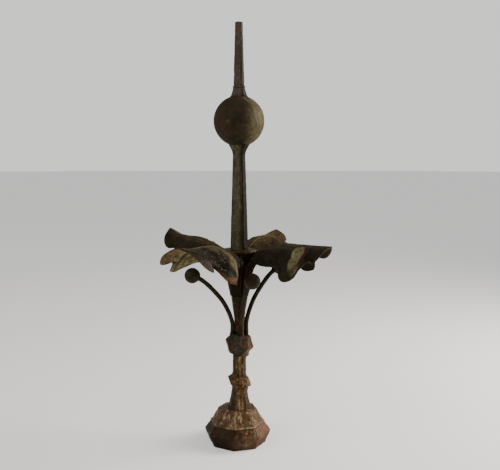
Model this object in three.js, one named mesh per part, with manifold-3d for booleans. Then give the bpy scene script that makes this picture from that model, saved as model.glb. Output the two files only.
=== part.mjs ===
// Roof finial in wrought and cast iron: an eight-sided stem on a spreading foot, two knops set
// askew, four ball-tipped stamens, a crown of four drooping leaves, a ball and a cut-off spike.
// Millimetres, Z up, the axis of the stem on Z and the underside of the foot at height zero.
// Radii of eight-sided pieces are measured to the corners, and their flats face X, Y and between.

import * as THREE from 'three';
import { mergeVertices } from 'three/addons/utils/BufferGeometryUtils.js';
import Module from 'manifold-3d';

const wasm = await Module();
wasm.setup();

// Fit between pieces that touch
const gap = 0.3;

// Foot
const footUnderRadius = 84;
const footWidestRadius = 98.5;
const footWidestHeight = 34;
const footBandHeight = 4;
const footLedgeRadius = 82;
const footLedgeHeight = 61;
const footLedgeRise = 5;
const footShoulderRadius = 57;
const footTopFall = 1;
const footHeight = 101;
const footOffset = 6;
const footOffsetBearing = 210;

// Lower stem, from the foot up to the top of the crown, and the neck that the leaves grow from
const stemLength = 467;
const stemFlareRadius = 35;
const stemFlareLength = 105;
const stemRadius = 20.4;
const stemBellRadius = 24.5;
const stemCapRadius = 56;
const stemCapEdge = 6;
const neckLength = 134;

// Knops: a sharp one low on the stem, and a fuller one that binds the stamens
const lowerKnopAboveFoot = 80;
const lowerKnopRadius = 38;
const lowerKnopEndRadius = 24;
const lowerKnopLength = 35;
const lowerKnopTilt = 19;
const upperKnopAboveFoot = 192;
const upperKnopRadius = 44;
const upperKnopLength = 62;
const upperKnopTilt = 14;
const tiltBearing = 30;

// Stamens
const rodRadius = 6.6;
const rodRingRadius = 20.6;
const rodSeatBelowKnop = 27;
const rodSeatStep = 0.5;
const rodStraightAboveKnop = 59;
const budRadius = 22.3;
const budRingRadius = 137;
const budRise = 146;

// Leaves
const leafThickness = 5;
const leafBendReach = 48;
const leafReach = 283;
const leafCrestRise = 157;
const leafLobeWidth = 130;

// Upper stem, ball and spike
const mastLength = 297;
const mastFootRadius = 26.3;
const mastTopRadius = 18.4;
const mastHeadRadius = 30.5;
const mastHeadLength = 29;
const ballRadius = 71.4;
const spikeLength = 204;
const spikeFootRadius = 27.5;
const spikeFootLength = 25;
const spikeLowRadius = 14.6;
const spikeTopRadius = 10;

// Heights that follow from the lengths
const lowerKnopHeight = footHeight + lowerKnopAboveFoot;
const upperKnopHeight = footHeight + upperKnopAboveFoot;
const rodSeatHeight = upperKnopHeight - rodSeatBelowKnop;
const rodBendHeight = upperKnopHeight + rodStraightAboveKnop;
const crownHeight = footHeight + stemLength;
const leafRootHeight = crownHeight - neckLength;
const mastTopHeight = crownHeight + gap + mastLength;
const ballHeight = mastTopHeight + Math.sqrt(ballRadius ** 2 - mastHeadRadius ** 2);
const spikeSeatHeight = ballHeight + Math.sqrt(ballRadius ** 2 - spikeFootRadius ** 2);

// Eight flats, and the share of a corner radius that reaches the middle of a flat
const facets = 8;
const facetTurn = Math.PI / facets;
const flatShare = Math.cos(facetTurn);

// Iron with the remains of dark paint above, and rust and primer below
const paintedIron = () => new THREE.MeshStandardMaterial({ color: 0x2e2b20, roughness: 0.62, metalness: 0.35 });
const leafIron = () => new THREE.MeshStandardMaterial({ color: 0x3b3428, roughness: 0.66, metalness: 0.3 });
const rustyIron = () => new THREE.MeshStandardMaterial({ color: 0x54341f, roughness: 0.8, metalness: 0.2 });
const primedIron = () => new THREE.MeshStandardMaterial({ color: 0x4a2a20, roughness: 0.5, metalness: 0.2 });

// Smooth functions

/** A smooth function through [place, value, ...] stations that never swings past a station. */
function through(stations) {
  const places = stations.map((station) => station[0]);
  const values = stations.map((station) => station.slice(1));
  const rises = values.slice(1).map((row, i) => row.map((value, k) =>
    (value - values[i][k]) / (places[i + 1] - places[i])));
  const slopeAt = (i, k) => {
    const before = rises[Math.max(i - 1, 0)][k];
    const after = rises[Math.min(i, rises.length - 1)][k];
    return before * after > 0 ? (2 * before * after) / (before + after) : 0;
  };
  return (place) => {
    const next = places.findIndex((station, i) => i > 0 && (place < station || i === places.length - 1));
    const i = next - 1;
    const span = places[next] - places[i];
    const t = (place - places[i]) / span;
    return values[i].map((value, k) =>
      (2 * t ** 3 - 3 * t ** 2 + 1) * value
      + (t ** 3 - 2 * t ** 2 + t) * span * slopeAt(i, k)
      + (3 * t ** 2 - 2 * t ** 3) * values[next][k]
      + (t ** 3 - t ** 2) * span * slopeAt(next, k));
  };
}

const ramp = (value, from, to) => Math.min(Math.max((value - from) / (to - from), 0), 1);

// Solids

/** An indexed geometry that keeps nothing but its places, with shared corners merged. */
function bare(geometry) {
  const copy = geometry.clone();
  copy.deleteAttribute('normal');
  copy.deleteAttribute('uv');
  return mergeVertices(copy);
}

/** A closed geometry as a solid that can be cut, without the flat triangles at its poles. */
function solidOf(geometry) {
  const merged = bare(geometry);
  const corners = merged.index.array;
  const kept = [];
  for (let i = 0; i < corners.length; i += 3) {
    const [a, b, c] = corners.slice(i, i + 3);
    if (a !== b && b !== c && c !== a) kept.push(a, b, c);
  }
  return new wasm.Manifold(new wasm.Mesh({
    numProp: 3,
    vertProperties: new Float32Array(merged.attributes.position.array),
    triVerts: new Uint32Array(kept),
  }));
}

/** A geometry with the given tools cut out of it. */
function cut(geometry, ...tools) {
  const left = tools.reduce((solid, tool) => solid.subtract(solidOf(tool)), solidOf(geometry));
  const mesh = left.getMesh();
  const result = new THREE.BufferGeometry();
  result.setAttribute('position', new THREE.BufferAttribute(new Float32Array(mesh.vertProperties), 3));
  result.setIndex(Array.from(mesh.triVerts));
  return result;
}

/** An eight-sided solid about Z from [corner radius, height] points, listed from the bottom up. */
function octagonal(profile) {
  const lowest = profile[0][1];
  const highest = profile[profile.length - 1][1];
  const outline = [[0, lowest], ...profile, [0, highest]].map(([radius, height]) =>
    new THREE.Vector2(radius, height));
  return new THREE.LatheGeometry(outline, facets, facetTurn).rotateX(Math.PI / 2);
}

/** The room that an eight-sided piece takes: the same profile with its flats moved out by the gap. */
function grown(profile) {
  return octagonal(profile.map(([radius, height]) => [radius + gap / flatShare, height]));
}

/** A closed skin over rings of as many points each, an even number, with both ends laced shut. */
function skin(rings) {
  const count = rings[0].length;
  const places = rings.flat().flatMap((point) => [point.x, point.y, point.z]);
  const faces = [];
  for (let i = 0; i + 1 < rings.length; i += 1) {
    for (let j = 0; j < count; j += 1) {
      const here = i * count + j;
      const beside = i * count + (j + 1) % count;
      faces.push(here, beside, here + count, beside, beside + count, here + count);
    }
  }
  const last = (rings.length - 1) * count;
  for (let j = 0; j + 1 < count / 2; j += 1) {
    const opposite = count - 1 - j;
    faces.push(j, opposite, j + 1, j + 1, opposite, opposite - 1);
    faces.push(last + j, last + j + 1, last + opposite);
    faces.push(last + j + 1, last + opposite - 1, last + opposite);
  }
  const geometry = new THREE.BufferGeometry();
  geometry.setAttribute('position', new THREE.Float32BufferAttribute(places, 3));
  geometry.setIndex(faces);
  return geometry;
}

const ballShape = (radius) => new THREE.SphereGeometry(radius, 28, 18)
  .rotateX(Math.PI / 2)
  .translate(0, 0, ballHeight);

// Foot

const footProfile = [
  [footUnderRadius, 0],
  [footWidestRadius, footWidestHeight],
  [footWidestRadius, footWidestHeight + footBandHeight],
  [footLedgeRadius, footLedgeHeight],
  [footLedgeRadius - footLedgeRise / 2, footLedgeHeight + footLedgeRise],
  [footShoulderRadius, footHeight - footTopFall],
  [footShoulderRadius * 0.93, footHeight],
];

/** The foot, standing a little off the stem's axis. */
function footShape() {
  const bearing = THREE.MathUtils.degToRad(footOffsetBearing);
  return octagonal(footProfile)
    .translate(footOffset * Math.cos(bearing), footOffset * Math.sin(bearing), 0);
}

// Lower stem. Its core, between the rods, leaves them their room, and swells into a bell and a cap.

const coreRadius = (rodRingRadius - rodRadius - gap) / flatShare;
const stemProfile = [
  [stemFlareRadius, footHeight + gap],
  [stemFlareRadius * 0.45 + stemRadius * 0.55, footHeight + stemFlareLength * 0.31],
  [stemFlareRadius * 0.28 + stemRadius * 0.72, footHeight + stemFlareLength * 0.49],
  [stemRadius, footHeight + stemFlareLength],
  [stemRadius, rodSeatHeight],
  [coreRadius, rodSeatHeight + rodSeatStep],
  [coreRadius, rodBendHeight],
  [coreRadius * 0.6 + stemBellRadius * 0.4, rodBendHeight * 0.6 + leafRootHeight * 0.4],
  [stemBellRadius, rodBendHeight * 0.08 + leafRootHeight * 0.92],
  [stemBellRadius, leafRootHeight],
  [stemBellRadius * 1.1, leafRootHeight + neckLength * 0.37],
  [stemCapRadius * 0.72, leafRootHeight + neckLength * 0.76],
  [stemCapRadius * 0.87, leafRootHeight + neckLength * 0.9],
  [stemCapRadius, crownHeight - stemCapEdge],
  [stemCapRadius * 0.96, crownHeight],
];

// Stamens

/** The middle line of a stamen in its own upright plane, as a curve of [outward, up]. */
function stamenLine({ reach, lift }) {
  const out = budRingRadius * reach - rodRingRadius;
  const rise = budRise * lift;
  const stations = [
    [0, 0], [0.02, 0.07], [0.075, 0.2], [0.17, 0.36], [0.27, 0.49],
    [0.48, 0.69], [0.64, 0.82], [0.81, 0.925], [1, 1],
  ];
  const bend = stations.map(([outward, up]) =>
    new THREE.Vector3(rodRingRadius + out * outward, 0, rodBendHeight + rise * up));
  const rodFootHeight = rodSeatHeight + rodSeatStep + gap;
  const foot = [0, 0.65, 0.83].map((share) => new THREE.Vector3(
    rodRingRadius, 0, rodFootHeight + (rodBendHeight - rodFootHeight) * share,
  ));
  return new THREE.CatmullRomCurve3([...foot, ...bend], false, 'centripetal');
}

/** A round rod that ends in a ball bud, carried along a stamen's middle line. */
function stamen(settings) {
  const sides = 8;
  const line = stamenLine(settings);
  const length = line.getLength();
  const rodSteps = 20;
  const budSteps = 9;
  const meet = Math.sqrt(budRadius ** 2 - rodRadius ** 2);
  const rodEnd = length - meet;
  const stations = [];
  for (let i = 0; i <= rodSteps; i += 1) {
    stations.push([rodEnd * i / rodSteps, rodRadius]);
  }
  const firstAngle = Math.asin(rodRadius / budRadius);
  for (let i = 1; i <= budSteps; i += 1) {
    const angle = firstAngle + (Math.PI * 0.97 - firstAngle) * i / budSteps;
    stations.push([length - budRadius * Math.cos(angle), budRadius * Math.sin(angle)]);
  }
  const side = new THREE.Vector3(0, 1, 0);
  const rings = stations.map(([along, radius]) => {
    const share = Math.min(along / length, 1);
    const tangent = line.getTangentAt(Math.min(share, 1));
    const centre = line.getPointAt(share).addScaledVector(tangent, Math.max(along - length, 0));
    const across = new THREE.Vector3().crossVectors(tangent, side);
    return Array.from({ length: sides }, (_, j) => {
      const turn = 2 * Math.PI * (j + 0.5) / sides;
      return centre.clone()
        .addScaledVector(across, radius * Math.cos(turn))
        .addScaledVector(side, -radius * Math.sin(turn));
    });
  });
  return skin(rings).rotateZ(settings.bearing);
}

// Knops

/** A turned knop set askew at a height, with the pieces that pass through it cut out. */
function knop(profile, height, tilt, ...passing) {
  const bearing = THREE.MathUtils.degToRad(tiltBearing);
  const tiltAxis = new THREE.Vector3(Math.sin(bearing), -Math.cos(bearing), 0);
  const shape = octagonal(profile);
  shape.applyMatrix4(new THREE.Matrix4().makeRotationAxis(tiltAxis, -THREE.MathUtils.degToRad(tilt)));
  shape.translate(0, 0, height);
  return cut(shape, ...passing);
}

const lowerKnopProfile = [
  [lowerKnopEndRadius, -lowerKnopLength / 2],
  [lowerKnopRadius, 0],
  [lowerKnopEndRadius, lowerKnopLength / 2],
];

const upperKnopProfile = [
  [0.6, -0.5], [0.78, -0.26], [0.92, -0.1], [1, 0], [0.92, 0.1], [0.78, 0.26], [0.66, 0.44],
].map(([width, up]) => [upperKnopRadius * width, upperKnopLength * up]);

/** The straight room that a rod takes in the upper knop. */
function rodRoom(bearing) {
  const sides = 12;
  const radius = (rodRadius + gap) / Math.cos(Math.PI / sides);
  const room = new THREE.CylinderGeometry(radius, radius, upperKnopLength * 2, sides);
  return room.rotateX(Math.PI / 2)
    .translate(rodRingRadius, 0, rodSeatHeight + upperKnopLength)
    .rotateZ(bearing);
}

// Leaves. A leaf runs up the bell, bends outwards and droops on both sides of its midrib. Stations
// along the midrib are shares of its length. The bend's outward places are shares of its own reach,
// the blade's are shares of what is left of the leaf's, and upward ones are shares of the crest's
// rise. Half-widths are shares of the lobe's. The turn is the angle in radians that the sheet bends
// through from the midrib to its edge, and it is negative where the leaf wraps the bell. Each leaf's
// own reach, lift and curl are shares of the common reach, and its sides are shares of the pattern's.

const leafRootRadius = stemBellRadius + gap + leafThickness / 2;
const leafWrap = 0.72;

const leafBend = [
  [0, 0, 0], [0.109, 0.1, 0.261], [0.215, 0.19, 0.484], [0.3, 0.34, 0.675],
  [0.363, 0.56, 0.796], [0.438, 1, 0.885],
];
const leafBlade = [
  [0.555, 0.194, 0.949], [0.687, 0.433, 1], [0.793, 0.625, 1], [0.886, 0.793, 1], [1, 1, 1.057],
];
const leafHalfWidths = [
  [0.28, 0.35], [0.36, 0.5], [0.46, 0.57], [0.53, 0.6], [0.6, 0.83], [0.68, 1],
  [0.75, 0.94], [0.8, 0.6], [0.83, 0.46], [0.88, 0.554], [0.94, 0.4], [1, 0.03],
];
const leafTurns = [
  [0, -leafWrap], [0.12, -leafWrap * 0.97], [0.2, -0.35], [0.28, 0.45], [0.36, 1.05],
  [0.46, 1.5], [0.6, 1.6], [0.72, 1.6], [0.82, 1.4], [0.9, 1.2], [1, 0.4],
];

/** The middle surface of a leaf as a function of a share along it and a share across, -1 to 1. */
function leafSurface(leaf) {
  const lean = 0.03;
  const bendEnd = leafRootRadius + leafBendReach;
  const bladeReach = leafReach * leaf.reach - bendEnd;
  const midribAt = through([
    ...leafBend.map(([along, out, up]) => [
      along, leafRootRadius + leafBendReach * out, leafRootHeight + leafCrestRise * up,
    ]),
    ...leafBlade.map(([along, out, up]) => [
      along,
      bendEnd + bladeReach * out,
      leafRootHeight + leafCrestRise * up
        + leafReach * (leaf.lift * out + leaf.curl * ramp(along, 0.8, 1) ** 2),
    ]),
  ]);
  const widthAt = through([
    [0, leafRootRadius * leafWrap],
    [0.1, leafRootRadius * leafWrap * 1.14],
    [0.2, leafRootRadius * leafWrap * 1.35],
    ...leafHalfWidths.map(([along, share]) => [along, leafLobeWidth * share]),
  ]);
  const turnAt = through(leafTurns);
  return (along, across) => {
    const side = across < 0 ? leaf.left : leaf.right;
    const outwards = Math.abs(across);
    const spread = ramp(along, 0.3, 0.5);
    const moved = THREE.MathUtils.clamp(along + lean * outwards ** 1.6 * Math.sin(Math.PI * along), 0, 1);
    const [out, up] = midribAt(moved);
    const step = 0.004;
    const before = midribAt(Math.max(moved - step, 0));
    const after = midribAt(Math.min(moved + step, 1));
    const pace = Math.hypot(after[0] - before[0], after[1] - before[1]);
    const below = [(after[1] - before[1]) / pace, (before[0] - after[0]) / pace];
    const shifted = THREE.MathUtils.clamp(along - side.shift * spread * ramp(1 - along, 0, 0.1), 0, 1);
    const tipSpread = 1 + (leaf.tipWidth - 1) * ramp(along, 0.8, 0.9);
    const width = widthAt(shifted)[0] * (1 + spread * (side.width - 1)) * tipSpread;
    const rawTurn = turnAt(along)[0];
    const turn = (Math.abs(rawTurn) < 0.001 ? 0.001 : rawTurn) * (1 + spread * (side.droop - 1));
    const bend = width / turn;
    const drop = bend * (1 - Math.cos(turn * outwards));
    return new THREE.Vector3(
      out + below[0] * drop,
      Math.sign(across) * bend * Math.sin(turn * outwards),
      up + below[1] * drop,
    );
  };
}

/** A leaf as a sheet of even thickness about its middle surface, turned to its bearing. */
function leaf(settings) {
  const surface = leafSurface(settings);
  const steps = 24;
  const acrossStations = [-1, -0.84, -0.66, -0.46, -0.26, -0.1, 0, 0.1, 0.26, 0.46, 0.66, 0.84, 1];
  const rings = [];
  for (let i = 0; i <= steps; i += 1) {
    const along = i / steps;
    const faces = acrossStations.map((across) => {
      const d = 0.003;
      const ahead = surface(Math.min(along + d, 1), across).sub(surface(Math.max(along - d, 0), across));
      const beside = surface(along, Math.min(across + d, 1)).sub(surface(along, Math.max(across - d, -1)));
      const normal = new THREE.Vector3().crossVectors(ahead, beside).normalize();
      const middle = surface(along, across);
      return [
        middle.clone().addScaledVector(normal, -leafThickness / 2),
        middle.clone().addScaledVector(normal, leafThickness / 2),
      ];
    });
    rings.push([...faces.map((pair) => pair[0]), ...faces.map((pair) => pair[1]).reverse()]);
  }
  return skin(rings).rotateZ(settings.bearing);
}

const even = { shift: 0, width: 1, droop: 1 };
const leaves = [
  {
    name: 'leaf_front', bearing: -Math.PI / 2, reach: 1.06, lift: 0.014, curl: 0, tipWidth: 1.35,
    right: { shift: -0.04, width: 1.1, droop: 1 }, left: { shift: 0, width: 1, droop: 0.8 },
  },
  {
    name: 'leaf_right', bearing: 0, reach: 1, lift: -0.007, curl: -0.021, tipWidth: 0.9,
    right: even, left: { shift: 0.035, width: 1.05, droop: 1 },
  },
  {
    name: 'leaf_back', bearing: Math.PI / 2, reach: 0.83, lift: -0.007, curl: 0.014, tipWidth: 0.75,
    right: even, left: { shift: 0, width: 0.9, droop: 0.5 },
  },
  {
    name: 'leaf_left', bearing: Math.PI, reach: 0.852, lift: 0.021, curl: 0.035, tipWidth: 0.85,
    right: even, left: even,
  },
];

const stamens = [
  { name: 'stamen_front_right', bearing: -Math.PI / 4, reach: 0.98, lift: 1 },
  { name: 'stamen_back_right', bearing: Math.PI / 4, reach: 0.88, lift: 1.1 },
  { name: 'stamen_back_left', bearing: (3 * Math.PI) / 4, reach: 1, lift: 1 },
  { name: 'stamen_front_left', bearing: (-3 * Math.PI) / 4, reach: 1, lift: 1 },
];

// Upper stem, ball and spike

// Both run a little into the ball's room, which is then cut out of them as a seat.
const seatOverrun = 6;

const mastProfile = [
  [mastFootRadius, crownHeight + gap],
  [mastTopRadius, mastTopHeight - mastHeadLength],
  [mastHeadRadius * 0.68, mastTopHeight - mastHeadLength * 0.62],
  [mastHeadRadius, mastTopHeight],
  [mastHeadRadius, mastTopHeight + seatOverrun],
];

const spikeProfile = [
  [spikeFootRadius, spikeSeatHeight - seatOverrun],
  [spikeFootRadius, spikeSeatHeight],
  [spikeFootRadius * 0.86, spikeSeatHeight + spikeFootLength * 0.16],
  [spikeLowRadius * 1.12, spikeSeatHeight + spikeFootLength],
  [spikeLowRadius, spikeSeatHeight + spikeFootLength * 1.32],
  [spikeTopRadius, spikeSeatHeight + spikeLength],
];

// Assembly

function piece(name, geometry, material) {
  const mesh = new THREE.Mesh(geometry, material);
  mesh.name = name;
  return mesh;
}

const finial = new THREE.Group();
finial.add(piece('foot', footShape(), primedIron()));
finial.add(piece('lower_stem', octagonal(stemProfile), rustyIron()));
finial.add(piece(
  'lower_knop',
  knop(lowerKnopProfile, lowerKnopHeight, lowerKnopTilt, grown(stemProfile)),
  rustyIron(),
));
finial.add(piece(
  'upper_knop',
  knop(
    upperKnopProfile, upperKnopHeight, upperKnopTilt,
    grown(stemProfile), ...stamens.map(({ bearing }) => rodRoom(bearing)),
  ),
  rustyIron(),
));
for (const settings of stamens) {
  finial.add(piece(settings.name, stamen(settings), paintedIron()));
}
for (const settings of leaves) {
  finial.add(piece(settings.name, leaf(settings), leafIron()));
}
finial.add(piece('upper_stem', cut(octagonal(mastProfile), ballShape(ballRadius + gap)), paintedIron()));
finial.add(piece('ball', ballShape(ballRadius), paintedIron()));
finial.add(piece('spike', cut(octagonal(spikeProfile), ballShape(ballRadius + gap)), paintedIron()));

export default finial;
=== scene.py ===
"""Looks of an eight-sided iron roof finial: a spreading foot, knops set askew, ball-tipped stamens,
a crown of drooping leaves, a tapering mast, a ball and a cut-off spike.

Sizes are in millimetres and become metres when a mesh is made. Z is up and the stem stands on Z.
"""

import logging
import math
from dataclasses import dataclass, field, replace
from enum import Enum
from typing import Union

import bpy
import numpy as np
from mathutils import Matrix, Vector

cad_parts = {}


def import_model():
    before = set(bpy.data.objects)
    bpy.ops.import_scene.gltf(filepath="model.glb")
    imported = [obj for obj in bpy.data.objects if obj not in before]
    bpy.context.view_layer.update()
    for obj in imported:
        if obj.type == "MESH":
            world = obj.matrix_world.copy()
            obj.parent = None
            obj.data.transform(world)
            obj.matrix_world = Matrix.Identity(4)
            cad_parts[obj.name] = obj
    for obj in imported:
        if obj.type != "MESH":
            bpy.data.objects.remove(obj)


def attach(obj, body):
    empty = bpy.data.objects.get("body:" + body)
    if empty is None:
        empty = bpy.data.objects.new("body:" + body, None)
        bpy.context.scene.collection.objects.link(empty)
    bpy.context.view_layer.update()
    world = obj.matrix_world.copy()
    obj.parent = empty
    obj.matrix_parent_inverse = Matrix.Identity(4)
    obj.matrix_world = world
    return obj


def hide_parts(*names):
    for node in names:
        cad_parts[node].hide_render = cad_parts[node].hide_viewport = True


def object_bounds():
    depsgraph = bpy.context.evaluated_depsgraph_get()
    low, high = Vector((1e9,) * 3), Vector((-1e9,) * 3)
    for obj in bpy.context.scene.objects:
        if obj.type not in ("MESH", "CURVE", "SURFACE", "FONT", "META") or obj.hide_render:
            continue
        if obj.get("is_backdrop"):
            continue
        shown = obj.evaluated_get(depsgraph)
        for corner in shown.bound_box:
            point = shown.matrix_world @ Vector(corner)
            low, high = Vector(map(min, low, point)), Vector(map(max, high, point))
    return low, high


MILLIMETRE = 0.001
BODY = "root"
# Millimetres between pieces that touch in the real one
GAP = 0.3
# Metres up, above the whole finial
OUT_OF_REACH = 9.0

Array = np.ndarray
Piece = bpy.types.Object
Socket = bpy.types.NodeSocket
Value = Union[Socket, float, tuple[float, ...]]
Profile = list[tuple[float, float]]
Marks = dict[str, Array]
Colour = tuple[float, float, float, float]

log = logging.getLogger("finial")


class Slot(Enum):
    """Names for the four finishes."""

    PAINTED = "painted_iron"
    LEAF = "leaf_iron"
    RUSTY = "rusty_iron"
    PRIMED = "primed_iron"


class End(Enum):
    """How a skin is closed past its first and last ring."""

    POLE = "a fan to a point in the ring's middle"
    LACE = "faces from one half of the ring to the other"
    BORE = "faces from the last ring to the first"


# Steps, hills, curves and turns that several shapes share


def step(value: Array, low: float, high: float) -> Array:
    """A smooth step: 3t² - 2t³, where t runs from 0 at low to 1 at high."""
    t = np.clip((value - low) / (high - low), 0, 1)
    return t * t * (3 - 2 * t)


def bump(value: Array, middle: float, width: float) -> Array:
    """A round hump: e to the minus square of the distance from the middle over the width."""
    return np.exp(-(((value - middle) / width) ** 2))


def unevenness(points: Array, size: float, seed: int) -> Array:
    """Smooth random hills: the sum of 24 sine waves of seeded directions, lengths and phases.

    Args:
        points: Places in millimetres.
        size: About the width of a hill.
        seed: Picks the waves.

    Returns:
        Heights with a mean of 0 and a spread of 1.
    """
    draw = np.random.default_rng(seed)
    count = 24
    ways = draw.normal(size=(count, 3))
    ways /= np.linalg.norm(ways, axis=1, keepdims=True)
    ways *= draw.uniform(0.5, 1.5, (count, 1)) * math.pi / size
    phases = draw.uniform(0, 2 * math.pi, count)
    return np.sin(points @ ways.T + phases).sum(-1) * math.sqrt(2 / count)


def through(stations: Array, places: Array) -> Array:
    """A smooth curve through stations that never swings past one of them.

    Between two stations it is the cubic with their values and slopes, and the slope at a station is
    the harmonic mean of the straight slopes beside it, or 0 where they differ in sign.

    Args:
        stations: Rows of place, value, value and so on.
        places: Where the curve is asked for.

    Returns:
        The values, with one more axis than the places.
    """
    knots, values = stations[:, 0], stations[:, 1:]
    rises = np.diff(values, axis=0) / np.diff(knots)[:, None]
    before, after = np.vstack([rises[:1], rises]), np.vstack([rises, rises[-1:]])
    same = before * after > 0
    slopes = np.where(same, 2 * before * after / np.where(same, before + after, 1), 0)
    i = np.clip(np.searchsorted(knots, places, side="right") - 1, 0, len(knots) - 2)
    span = (knots[i + 1] - knots[i])[..., None]
    t = (places - knots[i])[..., None] / span
    return (
        (2 * t**3 - 3 * t**2 + 1) * values[i]
        + (t**3 - 2 * t**2 + t) * span * slopes[i]
        + (3 * t**2 - 2 * t**3) * values[i + 1]
        + (t**3 - t**2) * span * slopes[i + 1]
    )


def turned(points: Array, bearing: float) -> Array:
    """Points turned about Z by a bearing in degrees."""
    c, s = math.cos(math.radians(bearing)), math.sin(math.radians(bearing))
    return points @ np.array([[c, s, 0], [-s, c, 0], [0, 0, 1]])


# Eight-sided surfaces

FACETS = 8
HALF_FACET = math.pi / FACETS


def octagon_radius(turns: Array, crispness: float = 70.0) -> Array:
    """Polar radius of an octagon with softened corners, as a share of its corner radius.

    It is the mid-flat radius over the p-norm of the cosines of the angles to the eight flats, which
    is exact as p grows and rounds the corners for a smaller p.

    Args:
        turns: Angles about the axis; flats face 0, 45, 90 degrees and so on.
        crispness: The p of the norm.

    Returns:
        Shares from about 0.92 in mid-flat to just under 1 at a corner.
    """
    flats = np.arange(FACETS) * 2 * HALF_FACET
    nearness = np.maximum(np.cos(turns[..., None] - flats), 0)
    return math.cos(HALF_FACET) / (nearness**crispness).sum(-1) ** (1 / crispness)


def eased(profile: Profile, ease: float, spacing: float) -> Array:
    """A profile with rounded corners and points along its straight parts.

    A corner becomes the parabola from a point before it to a point after it, with the corner as its
    middle handle. Its sharpness is the sine of the turn, positive where the outline stands out.

    Args:
        profile: Radius and height of each corner, from the bottom up.
        ease: How far from a corner its rounding starts.
        spacing: The widest distance between points on a straight part.

    Returns:
        Rows of radius, height and sharpness.
    """
    corners = np.array(profile, float)
    steps = np.diff(corners, axis=0)
    lengths = np.hypot(*steps.T)
    ways = steps / lengths[:, None]
    rows = [np.array([[*corners[0], 0.0]])]
    for i, way in enumerate(ways):
        start, end = rows[-1][-1, :2], corners[i + 1]
        last = i == len(ways) - 1
        cut = 0.0 if last else min(ease, lengths[i] * 0.45, lengths[i + 1] * 0.45)
        arrive = end - way * cut
        count = max(int(np.hypot(*(arrive - start)) / spacing), 1)
        line = start + (arrive - start) * (np.arange(1, count + 1) / count)[:, None]
        rows.append(np.column_stack([line, np.zeros(count)]))
        if not last:
            leave = end + ways[i + 1] * cut
            t = np.linspace(0, 1, 7)[1:, None]
            curve = (1 - t) ** 2 * arrive + 2 * t * (1 - t) * end + t**2 * leave
            turn = way[0] * ways[i + 1][1] - way[1] * ways[i + 1][0]
            rows.append(np.column_stack([curve, turn * np.sin(math.pi * t)]))
    return np.vstack(rows)


def facet_turns(per_facet: int = 20) -> tuple[Array, Array]:
    """Angles round an octagon, closer together towards its corners.

    Within a facet they go as half a facet times the sine of -90 to 90 degrees.

    Args:
        per_facet: How many angles a facet has.

    Returns:
        The angles, and the angle from each to its nearest corner.
    """
    within = HALF_FACET * np.sin((np.arange(per_facet) / per_facet * 2 - 1) * math.pi / 2)
    turns = (within[None, :] + np.arange(FACETS)[:, None] * 2 * HALF_FACET).ravel()
    return turns, HALF_FACET - np.abs((turns + HALF_FACET) % (2 * HALF_FACET) - HALF_FACET)


def faceted(
    profile: Profile, ease: float, spacing: float, chips: float, lumps: float, seed: int
) -> tuple[Array, Marks]:
    """An eight-sided surface: the profile's radius times the octagon's, at each height and turn.

    Old castings are uneven, so the radius loses up to about half a millimetre in low hills, and
    along the arrises a chip wherever finer hills stand high.

    Args:
        profile: Corner radius and height of each corner of the outline, from the bottom up.
        ease: How far from a corner of the outline its rounding starts.
        spacing: The widest distance between rings.
        chips: The deepest chip in an arris.
        lumps: The depth between runs of thick paint, which are long hills along Z.
        seed: Picks the hills.

    Returns:
        Rings of points, and the marks arris, edge and hollow, from 0 to 1.
    """
    radius, height, sharp = (column[:, None] for column in eased(profile, ease, spacing).T)
    turns, to_corner = facet_turns()
    reach = radius * octagon_radius(turns)[None, :]
    places = np.stack([reach * np.cos(turns), reach * np.sin(turns), height + 0 * reach], axis=-1)
    arris = np.clip(1 - radius * to_corner[None, :] / 2.6, 0, 1)
    # The hollow mark follows the concave corners of the outline, where the finish paints shade
    edge, hollow = (np.clip(way * sharp * 1.6, 0, 1) + 0 * reach for way in (1, -1))
    hills = np.clip(0.5 + 0.25 * unevenness(places, 26, seed), 0, 1)
    bites = step(unevenness(places, 7, seed + 1), 0.9, 2.4)
    drawn = unevenness(places * [1, 1, 0.3], 5, seed + 2) + unevenness(places, 4, seed + 3)
    loss = 0.35 * hills + chips * bites * np.maximum(arris, edge) ** 0.7
    loss = loss + lumps * np.clip(0.5 - 0.25 * drawn, 0, 1)
    loss *= step(radius, 2, 8)
    places[..., :2] *= ((reach - loss) / reach)[..., None]
    return places, {"arris": arris, "edge": edge, "hollow": hollow}


# Meshes


def linked(thing: Piece) -> Piece:
    """The same object, put into the scene."""
    bpy.context.scene.collection.objects.link(thing)
    return thing


def meshed(name: str, points: Array, faces: list) -> Piece:
    """A new object at the origin.

    Args:
        name: Its name and its mesh's.
        points: Places in millimetres.
        faces: Lists of point numbers.

    Returns:
        The object, in the scene.
    """
    mesh = bpy.data.meshes.new(name)
    mesh.from_pydata((points * MILLIMETRE).tolist(), [], faces)
    return linked(bpy.data.objects.new(name, mesh))


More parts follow.
